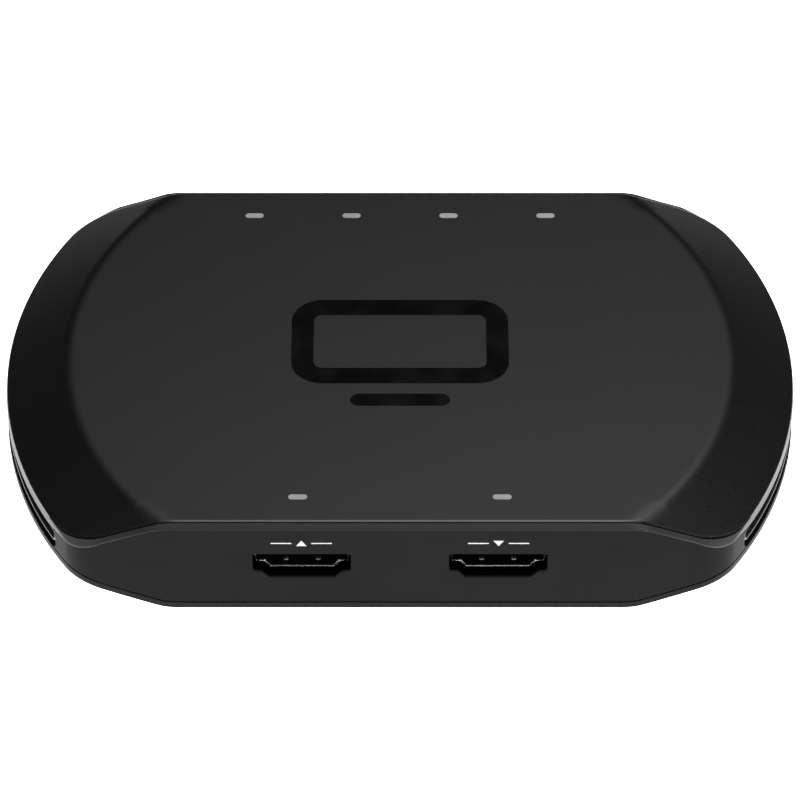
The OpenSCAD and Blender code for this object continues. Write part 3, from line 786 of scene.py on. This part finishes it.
def moulded_plastic(name, base, roughness, specular=0.5):
    """Satin plastic with a fine spark-eroded grain."""
    finish = Finish(name, roughness, specular=specular)
    finish.grain(roughness, 0.04, 0.006, (5.0, 5.0, 5.0))
    finish.colour(finish.noise((0.06, 0.06, 0.06)), base, CLOUD)
    return finish.material


def painted_sheen_plastic(name, base, spread, roughness, specular=0.3):
    """Satin plastic with painted light, for the rim and the cover's edge: paler towards the round
    ends as a painted reflection.
    """
    # The painted reflection grows paler between these distances from the middle
    sheen_from, sheen_to = 36 * MM, 58 * MM
    finish = Finish(name, roughness, specular=specular)
    finish.grain(roughness, 0.04, 0.006, (5.0, 5.0, 5.0))
    x = finish.add("ShaderNodeSeparateXYZ", "X", {"Vector": finish.place})
    side = finish.add("ShaderNodeMath", "Value", {0: x}, operation="ABSOLUTE")
    finish.colour(finish.run(side, sheen_from, sheen_to, *NOISE_BAND), base, spread)
    return finish.material


def gloss_plastic(name, base, roughness):
    """Smooth plastic with a faint waviness."""
    finish = Finish(name, roughness)
    wave = finish.grain(roughness, 0.2 * roughness, 0.0005, (0.25, 0.25, 0.25), 1.0)
    finish.colour(wave, base, 0.1)
    return finish.material


def sheet_metal(name, base, roughness):
    """Rolled metal with fine lines along its depth."""
    finish = Finish(name, roughness, metallic=1.0)
    lines = finish.grain(roughness, 0.06, 0.003, (6.0, 0.4, 6.0))
    finish.colour(lines, base, CLOUD)
    return finish.material


def dress(material, *nodes):
    """Gives CAD nodes a finish."""
    for node in nodes:
        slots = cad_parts[node].data.materials
        slots.clear()
        slots.append(material)


# Operators


class TopCover(bpy.types.Operator):
    """Dished top cover with its light windows' holes and the pockets of the inlaid sign"""

    bl_idname = "capture_box.top_cover"
    bl_label = "Top cover"

    def execute(self, context):
        c, f = casing(), finishes()
        side_in, end_in = c.chamfer_side + c.rim_land + c.seam, c.cover_end
        spigot_in = c.wall + c.spigot_gap
        loops = disc_loops(side_in + c.cover_run, end_in + c.cover_end_edge, top_height)
        strips = len(loops) - 1
        for inset, drop in EDGE_PROFILE:
            side, end = side_in + c.cover_run * inset, end_in + c.cover_end_edge * inset
            loops.append(rim_loop(side, end, c.cover_edge * drop, c.cover_end_edge * drop))
        loops.append(top_loop(side_in, end_in, c.flange))
        count = len(loops[-1])
        dull = slice((strips + BRIGHT_STRIPS) * count, (len(loops) - 1) * count)
        loops.append(top_loop(spigot_in, spigot_in, c.flange))
        loops += reversed(
            disc_loops(spigot_in, spigot_in, lambda x, y: top_height(x, y) - c.cover)
        )
        bm = bmesh.new()
        loft(bm, loops)
        for face in list(bm.faces)[dull]:
            if self.is_wing_edge(face.calc_center_median()):
                face.material_index = 1
        material = grained_plastic("satin_cover", f.cover, 0.42)
        piece = add_piece("cover_shell", bm, material, ["top_cover"])
        piece.data.materials.append(moulded_plastic("dull_edge", f.cover, 0.5, 0.04))
        carve(piece, self.cutters())
        # Painted light on the cover's edge in the rim's paler plastic: a painted reflection on its
        # upright edge at the ends, a painted highlight on its eased edge in front and behind
        refinish(piece, painted_sheen_plastic("cover_end_edge", f.rim, 0.5, 0.42), self.is_end_edge)
        refinish(piece, painted_sheen_plastic("cover_edge", f.rim, 0.5, 0.3, 0.45), self.is_eased_edge)
        shade_smooth(piece)
        shade_smooth(add_piece("cover_bosses", self.bosses(), material))
        return {"FINISHED"}

    @staticmethod
    def is_wing_edge(point):
        """True beyond the crease, along the front, the rear and the corners."""
        c = casing()
        outside = math.hypot(point.x, point.y) > c.top_flat / 2
        return outside and abs(point.y) > CORNER_FROM * c.depth

    @staticmethod
    def is_end_edge(face):
        """True on the upright edge of the cover at the round ends."""
        c = casing()
        reach = math.hypot(face.center.x, face.center.y)
        between = abs(face.center.y) < CORNER_FROM * c.depth
        return between and abs(face.normal.z) < 0.5 and reach > c.end_edge

    @staticmethod
    def is_eased_edge(face):
        """True on the eased edge of the flat top, in front and behind."""
        c = casing()
        inset = c.chamfer_side + c.rim_land + c.seam + c.cover_run
        flat = math.hypot(face.center.x, face.center.y) < c.top_flat / 2
        return flat and abs(face.center.y) > c.depth / 2 - inset and face.normal.z > 0.9

    @staticmethod
    def bosses():
        """Tubes that the case screws bite into."""
        c, u = casing(), under()
        bm = bmesh.new()
        low = c.foot_stand + u.pillar_height
        inner = u.screw / 2 + u.close_gap
        for x, y in four(u.pillar_x, u.pillar_y):
            high = top_height(x, y) - c.cover + 2 * u.close_gap
            add_tube(bm, inner, u.boss / 2, low, high, x, y)
        return bm

    @staticmethod
    def cutters():
        c, s = casing(), signs()
        bm = bmesh.new()
        window = pill(s.window_length + 2 * s.window_gap, s.window_width + 2 * s.window_gap)
        row_y = c.depth / 2 - s.window_inset
        low, high = c.top - 2 * c.cover, c.top + c.cover
        for row, places in ((row_y, REAR_LIGHTS), (-row_y, FRONT_LIGHTS)):
            for x in places:
                add_prism(bm, window, low, high, facing_up(x * MM, row))
        add_screen_sign(bm, 0.0, c.top - s.inlay_depth, high)
        return bm


def add_screen_sign(bm, gap, low, high):
    """A plain screen in outline over a bar, both drawn in by a gap."""
    s = signs()
    outlines = []
    for inset in (gap, s.screen_line - gap):
        width, depth = s.screen_width - 2 * inset, s.screen_depth - 2 * inset
        outlines.append(rounded_rectangle(width, depth, s.screen_round - inset))
    outer, inner = outlines
    corners = ((outer, low), (outer, high), (inner, high), (inner, low))
    loft(bm, [[(x, y + s.screen_y, z) for x, y in line] for line, z in corners], closed=True)
    bar = pill(s.stand_length - 2 * gap, s.stand_width - 2 * gap)
    add_prism(bm, bar, low, high, facing_up(0, -s.stand_y))


class FrameWall(bpy.types.Operator):
    """Upright wall with its chamfered rim, socket cut-outs and end vents"""

    bl_idname = "capture_box.frame_wall"
    bl_label = "Frame wall"

    def execute(self, context):
        c, f = casing(), finishes()
        seat = c.base_edge + c.groove
        ledge = c.flange
        low = c.rim_drop + c.chamfer_height
        land = c.chamfer_side + c.rim_land
        level = plan_outline(land + c.seam, c.cover_end)

        def rim(side_in, end_part, drop, end_drop):
            return rim_loop(side_in, end_part * c.cover_end, drop, end_drop, c.rear_drop, level)

        loops = [
            base_loop(c.soft, seat),
            base_loop(0.0, seat + c.soft),
            rim(0.0, 0.0, low + 3 * c.rim_edge, c.strip + 3 * c.soft),
        ]
        highlight_from, rim_from = len(loops) + 2, len(loops) + EDGE_STEPS
        share_in = c.rim_edge / math.hypot(c.chamfer_side, c.chamfer_height)
        parts = [(i / EDGE_STEPS) ** 2 * share_in for i in range(EDGE_STEPS + 1)]
        for i, part in enumerate([*parts, *CHAMFER_SHARES]):
            below = max(0.0, 1 - i / EDGE_STEPS) ** 2
            drop = low + below * c.rim_edge - part * c.chamfer_height
            end_drop = c.strip + below * c.soft - part * (c.strip - ledge)
            loops.append(rim(part * c.chamfer_side, part, drop, end_drop))
        # At the ends each loop lies a little further in than the last
        loops.append(rim(c.chamfer_side + c.rim_land / 3, 1.1, c.rim_drop, ledge))
        loops.append(rim(land, 1.2, c.rim_drop, ledge))
        rim_end = len(loops) - 1
        loops += [
            rim_loop(land, 1.3 * c.cover_end, ledge, ledge, level=level),
            top_loop(c.wall, c.wall, ledge),
            base_loop(c.wall, seat),
        ]
        bm = bmesh.new()
        loft(bm, loops, closed=True)
        count = len(loops[0])
        # Painted highlight on the rounding under the chamfer (material 2), painted paler rim on
        # the chamfer above it (material 1)
        for i, face in enumerate(list(bm.faces)[highlight_from * count : rim_end * count]):
            face.material_index = 2 if i < (rim_from - highlight_from) * count else 1
        material = moulded_plastic("satin_wall", f.wall, 0.4, 0.03)
        piece = add_piece("frame_wall", bm, material, ["mid_frame"])
        # Painted light: the rim's chamfer is paler than the wall of the same part, and paler still
        # towards the ends
        piece.data.materials.append(painted_sheen_plastic("rim_painted_sheen", f.rim, 0.5, 0.42))
        # Painted highlight along the rounding under the chamfer
        piece.data.materials.append(painted_sheen_plastic("rim_highlight", f.rim_highlight, 0.65, 0.36))
        carve(piece, self.cutters())
        soften(piece, c.soft, self.is_mouth)
        # Painted shade: near-black without sheen on the cut-outs' inner walls
        refinish(piece, moulded_plastic("mouth_shade", f.mouth, 0.6, 0.0), self.is_inside_mouth)
        shade_smooth(piece)
        return {"FINISHED"}

    def cutters(self):
        c, s = casing(), sockets()
        bm = bmesh.new()
        inside, outside = c.depth / 2 - 2 * c.wall, c.depth / 2 + c.wall
        vent = rounded_rectangle(c.vent_length, c.vent_height, c.vent_radius)
        for side in SIDES:
            self.add_mouth(bm, side * s.video_x, -outside, -inside)
            at = facing_end(side, c.vent_low + c.vent_height / 2)
            add_prism(bm, vent, c.width / 4, c.width, at)
        hole = circle(s.nose + 2 * s.fit_gap)
        for i in JACK_LIGHTS:
            add_prism(bm, hole, inside, outside, facing_front(REAR_LIGHTS[i] * MM, s.jack_z))
        slot = pill(s.data_width + 2 * s.fit_gap, s.data_height + 2 * s.fit_gap)
        add_prism(bm, slot, inside, outside, facing_front(-s.data_x, s.data_z))
        add_marks(bm, -outside)
        return bm

    @staticmethod
    def add_mouth(bm, x, start, end):
        """The shape of a video cut-out, whose lower edge flares out to a round sill."""
        s = sockets()
        face = -casing().depth / 2
        rows = [(start, s.sill_round - s.sill_lift)]
        for below, inset in quarter_round(EDGE_STEPS + 1):
            rows.append((face + s.sill_round * inset, s.sill_round * below - s.sill_lift))
        rows.append((end, -s.sill_lift))
        outline = video_outline(s.fit_gap)
        loops = []
        for y, below in rows:
            loop = [(x + u, y, s.video_z + v - (below if v < 0 else 0.0)) for u, v in outline]
            loops.append(loop)
        loft(bm, loops, capped=True)

    @staticmethod
    def is_inside_mouth(face):
        """True on the inner walls of a video cut-out, behind its rounded sill, which get painted
        shade.
        """
        c, s = casing(), sockets()
        x, y, z = face.center
        beside = abs(abs(x) - s.video_x) < s.video_width / 2 + MM
        level = abs(z - s.video_z) < s.video_height / 2 + MM
        behind = 0.8 * s.sill_round < y + c.depth / 2 < 2 * c.wall
        return beside and level and behind and abs(face.normal.y) < SLIGHT

    @staticmethod
    def is_mouth(point):
        """True on the outer edge of a cut-out, and not on the print or the rim."""
        c = casing()
        near = 0.02 * MM
        in_face = abs(abs(point.y) - c.depth / 2) < near
        between = 6 * MM < point.z < signs().mark_z - MM
        reach = math.hypot(abs(point.x) - c.width / 2 + c.end_radius, point.y)
        in_end = abs(reach - c.end_radius) < 3 * near and abs(point.y) < c.vent_length / 2 + near
        low, high = c.vent_low - near, c.vent_low + c.vent_height + near
        return (in_face and between) or (in_end and low < point.z < high)


class BaseCover(bpy.types.Operator):
    """Dished base cover with its band, groove, foot pockets, screw recesses, posts and pads"""

    bl_idname = "capture_box.base_cover"
    bl_label = "Base cover"

    def execute(self, context):
        c = casing()
        edge = c.base_round
        spigot_in = c.wall + c.spigot_gap
        lip_in = spigot_in + c.lip
        seat = c.base_edge + c.groove
        loops = disc_loops(edge, edge, base_height)
        for inset, rise in quarter_round(EDGE_STEPS)[1:]:
            loops.append(base_loop(edge * inset, edge * rise))
        loops += [
            base_loop(0.0, c.base_edge - c.soft),
            base_loop(c.soft, c.base_edge),
            base_loop(c.groove_depth, c.base_edge),
            base_loop(c.groove_depth, seat),
            base_loop(spigot_in, seat),
            base_loop(spigot_in, c.floor + c.lip_height),
            base_loop(lip_in, c.floor + c.lip_height),
        ]
        loops += reversed(disc_loops(lip_in, lip_in, lambda x, y: base_height(x, y) + c.floor))
        bm = bmesh.new()
        loft(bm, loops)
        material = moulded_plastic("matte_base", finishes().base, 0.45, 0.085)
        piece = add_piece("base_shell", bm, material, ["base_cover"])
        carve(piece, self.cutters())
        shade_smooth(piece)
        shade_smooth(add_piece("base_posts", self.posts(), material))
        return {"FINISHED"}

    @staticmethod
    def cutters():
        c, u = casing(), under()
        bm = bmesh.new()
        low = -c.foot_stand
        for x, y in four(u.foot_x, u.foot_y):
            high = c.foot_stand + u.foot_pocket
            add_prism(bm, circle(u.foot + 2 * u.close_gap), low, high, facing_up(x, y))
        for x, y in four(u.pillar_x, u.pillar_y):
            high = c.foot_stand + u.head_sink + u.head_height
            add_prism(bm, circle(u.head + 2 * c.spigot_gap), low, high, facing_up(x, y))
            hole = circle(u.screw + 2 * u.close_gap)
            add_prism(bm, hole, high - u.close_gap, high + c.floor, facing_up(x, y))
        return bm

    @staticmethod
    def posts():
        """Pillars of the case screws, posts of the board and pads of the louvres."""
        c, u = casing(), under()
        bm = bmesh.new()
        floor_z = c.foot_stand + c.floor - 2 * u.close_gap
        inner = u.screw / 2 + u.close_gap
        for x, y in four(u.pillar_x, u.pillar_y):
            add_tube(bm, inner, u.pillar / 2, floor_z, c.foot_stand + u.pillar_height, x, y)
        for x, y in four(u.hole_x, u.hole_y):
            add_tube(bm, inner, u.post / 2, floor_z, u.board_low, x, y)
        pad = rectangle(c.louvre_post_width, c.louvre_post_length)
        for x, y in four(c.louvre_post_x, c.louvre_post_y):
            low = base_height(x, y) + c.floor / 2
            add_prism(bm, pad, low, c.louvre_pad, facing_up(x, y))
        return bm


class Louvres(bpy.types.Operator):
    """Louvres in the end vents: blades with rounded edges whose ends turn up"""

    bl_idname = "capture_box.louvres"
    bl_label = "Louvres"

    def execute(self, context):
        material = moulded_plastic("grey_louvre", finishes().louvre, 0.3)
        for side, node in zip(SIDES, ("left_louvre", "right_louvre")):
            bm = bmesh.new()
            self.add_blade(bm, side)
            self.add_posts(bm, side)
            shade_smooth(add_piece(node + "_blade", bm, material, [node]))
        return {"FINISHED"}

    @staticmethod
    def path():
        """Middle line of the blade as seen from the end, with the direction across it."""
        c = casing()
        radius = c.vent_radius - c.blade_end_gap
        line = radius - c.blade / 2
        half = c.vent_length / 2 - c.blade_end_gap - radius
        low, high = c.blade_low, c.vent_low + c.vent_height - c.blade_end_gap - radius
        points = []
        for y, z, quarter in (
            (-half, high, 1),
            (-half, low + radius, 2),
            (half, low + radius, 3),
            (half, high, 4),
        ):
            start = QUARTER_TURN * quarter
            for u, v in arc(0.0, 0.0, 1.0, start, start + QUARTER_TURN, BEND_STEPS, last=1):
                points.append((y + line * u, z + line * v, u, v))
            if quarter == 2:
                for i in range(1, END_STEPS):
                    along = half * (2 * i / END_STEPS - 1)
                    points.append((along, low + c.blade / 2, 0.0, -1.0))
        return points

    def add_blade(self, bm, side):
        """Sweeps a blade with a round front edge along its path."""
        c = casing()
        edge = c.blade / 2
        section = arc(0.0, edge, edge, math.pi, 2 * math.pi, EDGE_STEPS + 1, last=1)
        section = [(-edge, c.blade_depth), *section, (edge, c.blade_depth)]
        end_x = c.width / 2 - c.end_radius
        loops = []
        for y, z, across_y, across_z in self.path():
            loop = []
            for offset, depth in section:
                at_y = y + offset * across_y
                radius = c.end_radius - c.blade_recess - depth
                x = end_x + math.sqrt(radius**2 - at_y**2)
                loop.append((side * x, at_y, z + offset * across_z))
            loops.append(loop)
        loft(bm, loops, capped=True)

    @staticmethod
    def add_posts(bm, side):
        c = casing()
        post = rectangle(c.louvre_post_width, c.louvre_post_length)
        for place in SIDES:
            at = facing_up(side * c.louvre_post_x, place * c.louvre_post_y)
            add_prism(bm, post, c.louvre_pad, c.blade_low + c.blade / 2, at)


class LightWindows(bpy.types.Operator):
    """Light guides and the lamps under them"""

    bl_idname = "capture_box.light_windows"
    bl_label = "Light windows"

    def execute(self, context):
        milky = gloss_plastic("milky_window", finishes().window, 0.3)
        dress(milky, "rear_light_guide", "front_light_guide", "lamps")
        return {"FINISHED"}


class VideoSockets(bpy.types.Operator):
    """Shells, tongues and contacts of the video sockets, with their spring bumps"""

    bl_idname = "capture_box.video_sockets"
    bl_label = "Video sockets"

    def execute(self, context):
        f, s = finishes(), sockets()
        metal = sheet_metal("tinned_shell", f.metal, 0.22)
        black = moulded_plastic("socket_black", f.base, 0.45)
        gold = sheet_metal("gold_contact", f.gold, 0.25)
        bm = bmesh.new()
        for side in SIDES:
            self.add_shell(bm, side * s.video_x)
        shells = ["video_out_shell", "video_in_shell"]
        piece = add_piece("video_shells", bm, metal, shells)
        # Painted shade: a darker, rougher copy of the shells' metal inside them and on their
        # upright sides
        refinish(piece, sheet_metal("painted_shade_shell", f.painted_shade_metal, 0.5), self.is_painted_shade)
        shade_smooth(piece)
        dress(metal, "data_shell", "power_pin")
        dress(black, "video_out_insulator", "video_in_insulator", "data_insulator")
        dress(black, "line_jack", "headset_jack", "power_jack")
        dress(gold, "video_out_contacts", "video_in_contacts")
        bm = bmesh.new()
        for side in SIDES:
            for place in SIDES:
                self.add_bump(bm, side * s.video_x + place * s.spring_x)
        # Painted shade: a darker copy of the shells' metal for the bumps inside the shells
        spring = sheet_metal("painted_shade_spring", f.spring, 0.4)
        shade_smooth(add_piece("spring_bumps", bm, spring))
        return {"FINISHED"}

    @staticmethod
    def is_painted_shade(face):
        """True behind the bead of a shell's mouth, and on the shell's upright sides, where the
        metal is painted darker as shade.
        """
        s = sockets()
        upright = abs(face.normal.x) > SLIGHT > abs(face.normal.z)
        return upright or face.center.y > 2.1 * s.bead - s.mouth_y

    @staticmethod
    def add_shell(bm, x):
        """A bent metal shell with a rolled bead round its mouth."""
        s = sockets()
        front, rear = -s.mouth_y, s.video_length - s.mouth_y
        behind = front + 2 * s.bead
        bead = arc(-s.shell / 2, front + s.bead, s.bead, 0.0, -math.pi, BEND_STEPS, last=1)
        section = [(0.0, rear), (0.0, behind), *bead, (-s.shell, behind), (-s.shell, rear)]
        loops = []
        for grow, y in section:
            loops.append([(x + u, y, s.video_z + v) for u, v in video_outline(grow)])
        loft(bm, loops, closed=True)

    @staticmethod
    def add_bump(bm, x):
        """A low dome pressed up from a shell's floor."""
        s = sockets()
        radius, height = s.spring_radius, s.spring_height
        z = s.video_z - s.video_height / 2 + s.shell
        profile = [(0.0, z - s.spring_root), (radius, z - s.spring_root), (radius, z)]
        for less, rest in quarter_round(EDGE_STEPS + 1)[1:-1]:
            profile.append((radius * (1 - rest), z + height * (1 - less)))
        profile.append((0.0, z + height))
        add_lathe(bm, profile, x, s.spring_depth - s.mouth_y, ROUND_STEPS // 2)


class Signs(bpy.types.Operator):
    """Inlaid screen sign in the top, and the arrows over the video sockets"""

    bl_idname = "capture_box.signs"
    bl_label = "Signs"

    def execute(self, context):
        c, s, f = casing(), signs(), finishes()
        bm = bmesh.new()
        add_screen_sign(bm, s.inlay_gap, c.top - s.inlay_depth, c.top - s.inlay_sink)
        gloss = gloss_plastic("gloss_inlay", f.inlay, 0.16)
        add_piece("inlaid_sign", bm, gloss)
        bm = bmesh.new()
        add_marks(bm, s.mark_sink - c.depth / 2)
        ink = moulded_plastic("pale_ink", f.ink, 0.5)
        add_piece("socket_marks", bm, ink)
        return {"FINISHED"}


def mark_outlines(side):
    """An arrow between two lines: up over the left socket, down over the right one."""
    s = signs()
    tip, wide = -side * s.mark_height / 2, ARROW_HALF * s.mark_height
    arrow = [(-wide, -tip), (wide, -tip), (0.0, tip)]
    if side > 0:
        arrow.reverse()
    outlines = [arrow]
    for end in SIDES:
        near, far = sorted((end * LINE_START * s.mark_height, end * s.mark_reach))
        half = s.mark_line / 2
        outlines.append([(near, -half), (far, -half), (far, half), (near, half)])
    return outlines


def add_marks(bm, start):
    """The marks over both video sockets, from a depth to the bottom of the print."""
    s = signs()
    end = s.mark_depth - casing().depth / 2
    for side in SIDES:
        for outline in mark_outlines(side):
            add_prism(bm, outline, start, end, facing_front(side * sockets().video_x, s.mark_z))


class ScrewsAndFeet(bpy.types.Operator):
    """Case screws with cross recesses, and rubber feet"""

    bl_idname = "capture_box.screws_and_feet"
    bl_label = "Screws and feet"

    def execute(self, context):
        u, f = under(), finishes()
        steel = sheet_metal("screw_steel", f.steel, 0.35)
        rubber = moulded_plastic("foot_rubber", f.rubber, 0.75)
        dress(steel, "board_screws")
        bm, crosses = bmesh.new(), bmesh.new()
        for x, y in four(u.pillar_x, u.pillar_y):
            self.add_screw(bm, crosses, x, y)
        piece = add_piece("case_screw_set", bm, steel, ["case_screws"])
        carve(piece, crosses)
        shade_smooth(piece)
        high = casing().foot_stand + u.foot_pocket
        foot = [*button(u.foot / 2, 0.0, u.foot_round), (u.foot / 2, high), (0.0, high)]
        for x, y in four(u.foot_x, u.foot_y):
            bm = bmesh.new()
            add_lathe(bm, foot, x, y)
            place = ("front" if y < 0 else "rear") + ("_left" if x < 0 else "_right")
            pad = add_piece(place + "_pad", bm, rubber, [place + "_foot"])
            shade_smooth(pad)
        return {"FINISHED"}

    @staticmethod
    def add_screw(bm, crosses, x, y):
        """A case screw, and the shape of the cross recess in its head."""
        u = under()
        low = casing().foot_stand + u.head_sink
        high = low + u.head_height
        radius, shank, tip = u.head / 2, u.screw / 2, high + u.screw_length
        head = button(radius, low, u.head_round)
        add_lathe(bm, [*head, (radius, high), (shank, high), (shank, tip), (0.0, tip)], x, y)
        arm, half = u.cross / 2, u.cross_slot / 2
        right = [(half, -arm), (half, -half), (arm, -half), (arm, half), (half, half), (half, arm)]
        cross = right + [(-a, -b) for a, b in right]
        add_prism(crosses, cross, low - u.cross_depth, low + u.cross_depth, facing_up(x, y))


class InnerPieces(bpy.types.Operator):
    """Circuit board and what it carries"""

    bl_idname = "capture_box.inner_pieces"
    bl_label = "Inner pieces"

    def execute(self, context):
        f = finishes()
        dress(gloss_plastic("board_lacquer", f.board, 0.35), "main_board")
        chip = moulded_plastic("chip_black", f.chip, 0.5)
        dress(chip, "processor", "memory_chips", "power_coil")
        dress(moulded_plastic("pad_grey", f.pad, 0.8), "thermal_pad")
        dress(moulded_plastic("pin_ivory", f.pin, 0.5), "heat_sink_pins")
        dress(sheet_metal("sink_aluminium", f.sink, 0.45), "heat_sink")
        dress(sheet_metal("capacitor_can", f.can, 0.3), "capacitors")
        return {"FINISHED"}


class Stage(bpy.types.Operator):
    """Floor, room, lights and camera"""

    bl_idname = "capture_box.stage"
    bl_label = "Stage"

    def execute(self, context):
        stage = context.scene.box_stage
        self.add_floor(context.scene, stage)
        self.add_lights(context.scene, stage)
        self.add_camera(context.scene, stage)
        return {"FINISHED"}

    @staticmethod
    def add_floor(scene, stage):
        bm = bmesh.new()
        bmesh.ops.create_grid(bm, x_segments=4, y_segments=4, size=6.0)
        mesh = bpy.data.meshes.new("floor")
        bm.to_mesh(mesh)
        bm.free()
        finish = Finish("pale_floor", 0.7, specular=0.2)
        finish.colour(finish.noise((0.004, 0.004, 0.004)), finishes().floor, 0.01)
        shift = {"Vector": finish.place, "Location": (0.0, stage.glow_front, 0.0)}
        forward = finish.add("ShaderNodeMapping", "Vector", shift)
        reach = finish.add("ShaderNodeVectorMath", "Value", {0: forward}, operation="LENGTH")
        # Painted pool of light: emission in the floor, brightest round the casing and fading with
        # distance
        radii, levels = (stage.glow_near, stage.glow_far), (stage.glow, stage.far_glow)
        fade = finish.run(reach, *radii, *levels, easing="SMOOTHSTEP")
        finish.set({"Emission Color": WHITE, "Emission Strength": fade})
        mesh.materials.append(finish.material)
        floor = bpy.data.objects.new("floor", mesh)
        scene.collection.objects.link(floor)

    @staticmethod
    def add_lights(scene, stage):
        world = bpy.data.worlds.new("room")
        world.use_nodes = True
        background = world.node_tree.nodes["Background"]
        background.inputs["Color"].default_value = WHITE
        background.inputs["Strength"].default_value = stage.sky
        scene.world = world
        for name, watts, place, width, height in (
            ("overhead_light", stage.key, (0.1, 0.25, 0.8), 0.42, 0.42),
            ("front_light", stage.front, (0.5, -1.0, 0.5), 1.15, 0.25),
            ("right_light", stage.right, (0.85, -0.45, 0.55), 0.5, 0.4),
            ("left_light", stage.left, (-0.75, -0.72, 0.38), 0.5, 0.4),
        ):
            lamp = bpy.data.lights.new(name, "AREA")
            lamp.shape = "RECTANGLE"
            lamp.size, lamp.size_y = width, height
            lamp.energy = watts
            light = bpy.data.objects.new(name, lamp)
            light.location = place
            light.rotation_mode = "QUATERNION"
            light.rotation_quaternion = (-Vector(place)).to_track_quat("-Z", "Y")
            scene.collection.objects.link(light)

    @staticmethod
    def add_camera(scene, stage):
        data = bpy.data.cameras.new("camera")
        data.sensor_width = 36.0
        data.lens = stage.lens
        data.clip_start, data.clip_end = 0.01, 20.0
        camera = bpy.data.objects.new("camera", data)
        back = Vector((0.0, -math.cos(stage.elevation), math.sin(stage.elevation)))
        target = Vector((0.0, 0.0, -stage.target_low))
        camera.location = target + stage.distance * back
        camera.rotation_euler = (QUARTER_TURN - stage.elevation + stage.tilt, 0.0, 0.0)
        scene.collection.objects.link(camera)
        scene.camera = camera
        scene.view_settings.view_transform = "Standard"


class CaptureBoxPanel(bpy.types.Panel):
    """Steps that dress the capture box"""

    bl_idname = "VIEW3D_PT_capture_box"
    bl_label = "Capture box"
    bl_space_type = "VIEW_3D"
    bl_region_type = "UI"
    bl_category = "Capture box"

    def draw(self, context):
        for step in STEPS:
            self.layout.operator(step.bl_idname)


STEPS = (
    TopCover,
    FrameWall,
    BaseCover,
    Louvres,
    LightWindows,
    VideoSockets,
    Signs,
    ScrewsAndFeet,
    InnerPieces,
    Stage,
)
GROUPS = {
    "box_casing": CasingSizes,
    "box_sockets": SocketSizes,
    "box_under": UnderSizes,
    "box_signs": SignSizes,
    "box_finishes": Finishes,
    "box_stage": StageSettings,
}
CLASSES = (*GROUPS.values(), *STEPS, CaptureBoxPanel)


def register():
    for cls in CLASSES:
        bpy.utils.register_class(cls)
    for name, group in GROUPS.items():
        setattr(bpy.types.Scene, name, PointerProperty(type=group))


def unregister():
    for name in GROUPS:
        delattr(bpy.types.Scene, name)
    for cls in reversed(CLASSES):
        bpy.utils.unregister_class(cls)


def main():
    register()
    bpy.ops.capture_box.top_cover()
    bpy.ops.capture_box.frame_wall()
    bpy.ops.capture_box.base_cover()
    bpy.ops.capture_box.louvres()
    bpy.ops.capture_box.light_windows()
    bpy.ops.capture_box.video_sockets()
    bpy.ops.capture_box.signs()
    bpy.ops.capture_box.screws_and_feet()
    bpy.ops.capture_box.inner_pieces()
    bpy.ops.capture_box.stage()


if __name__ == "__main__":
    main()
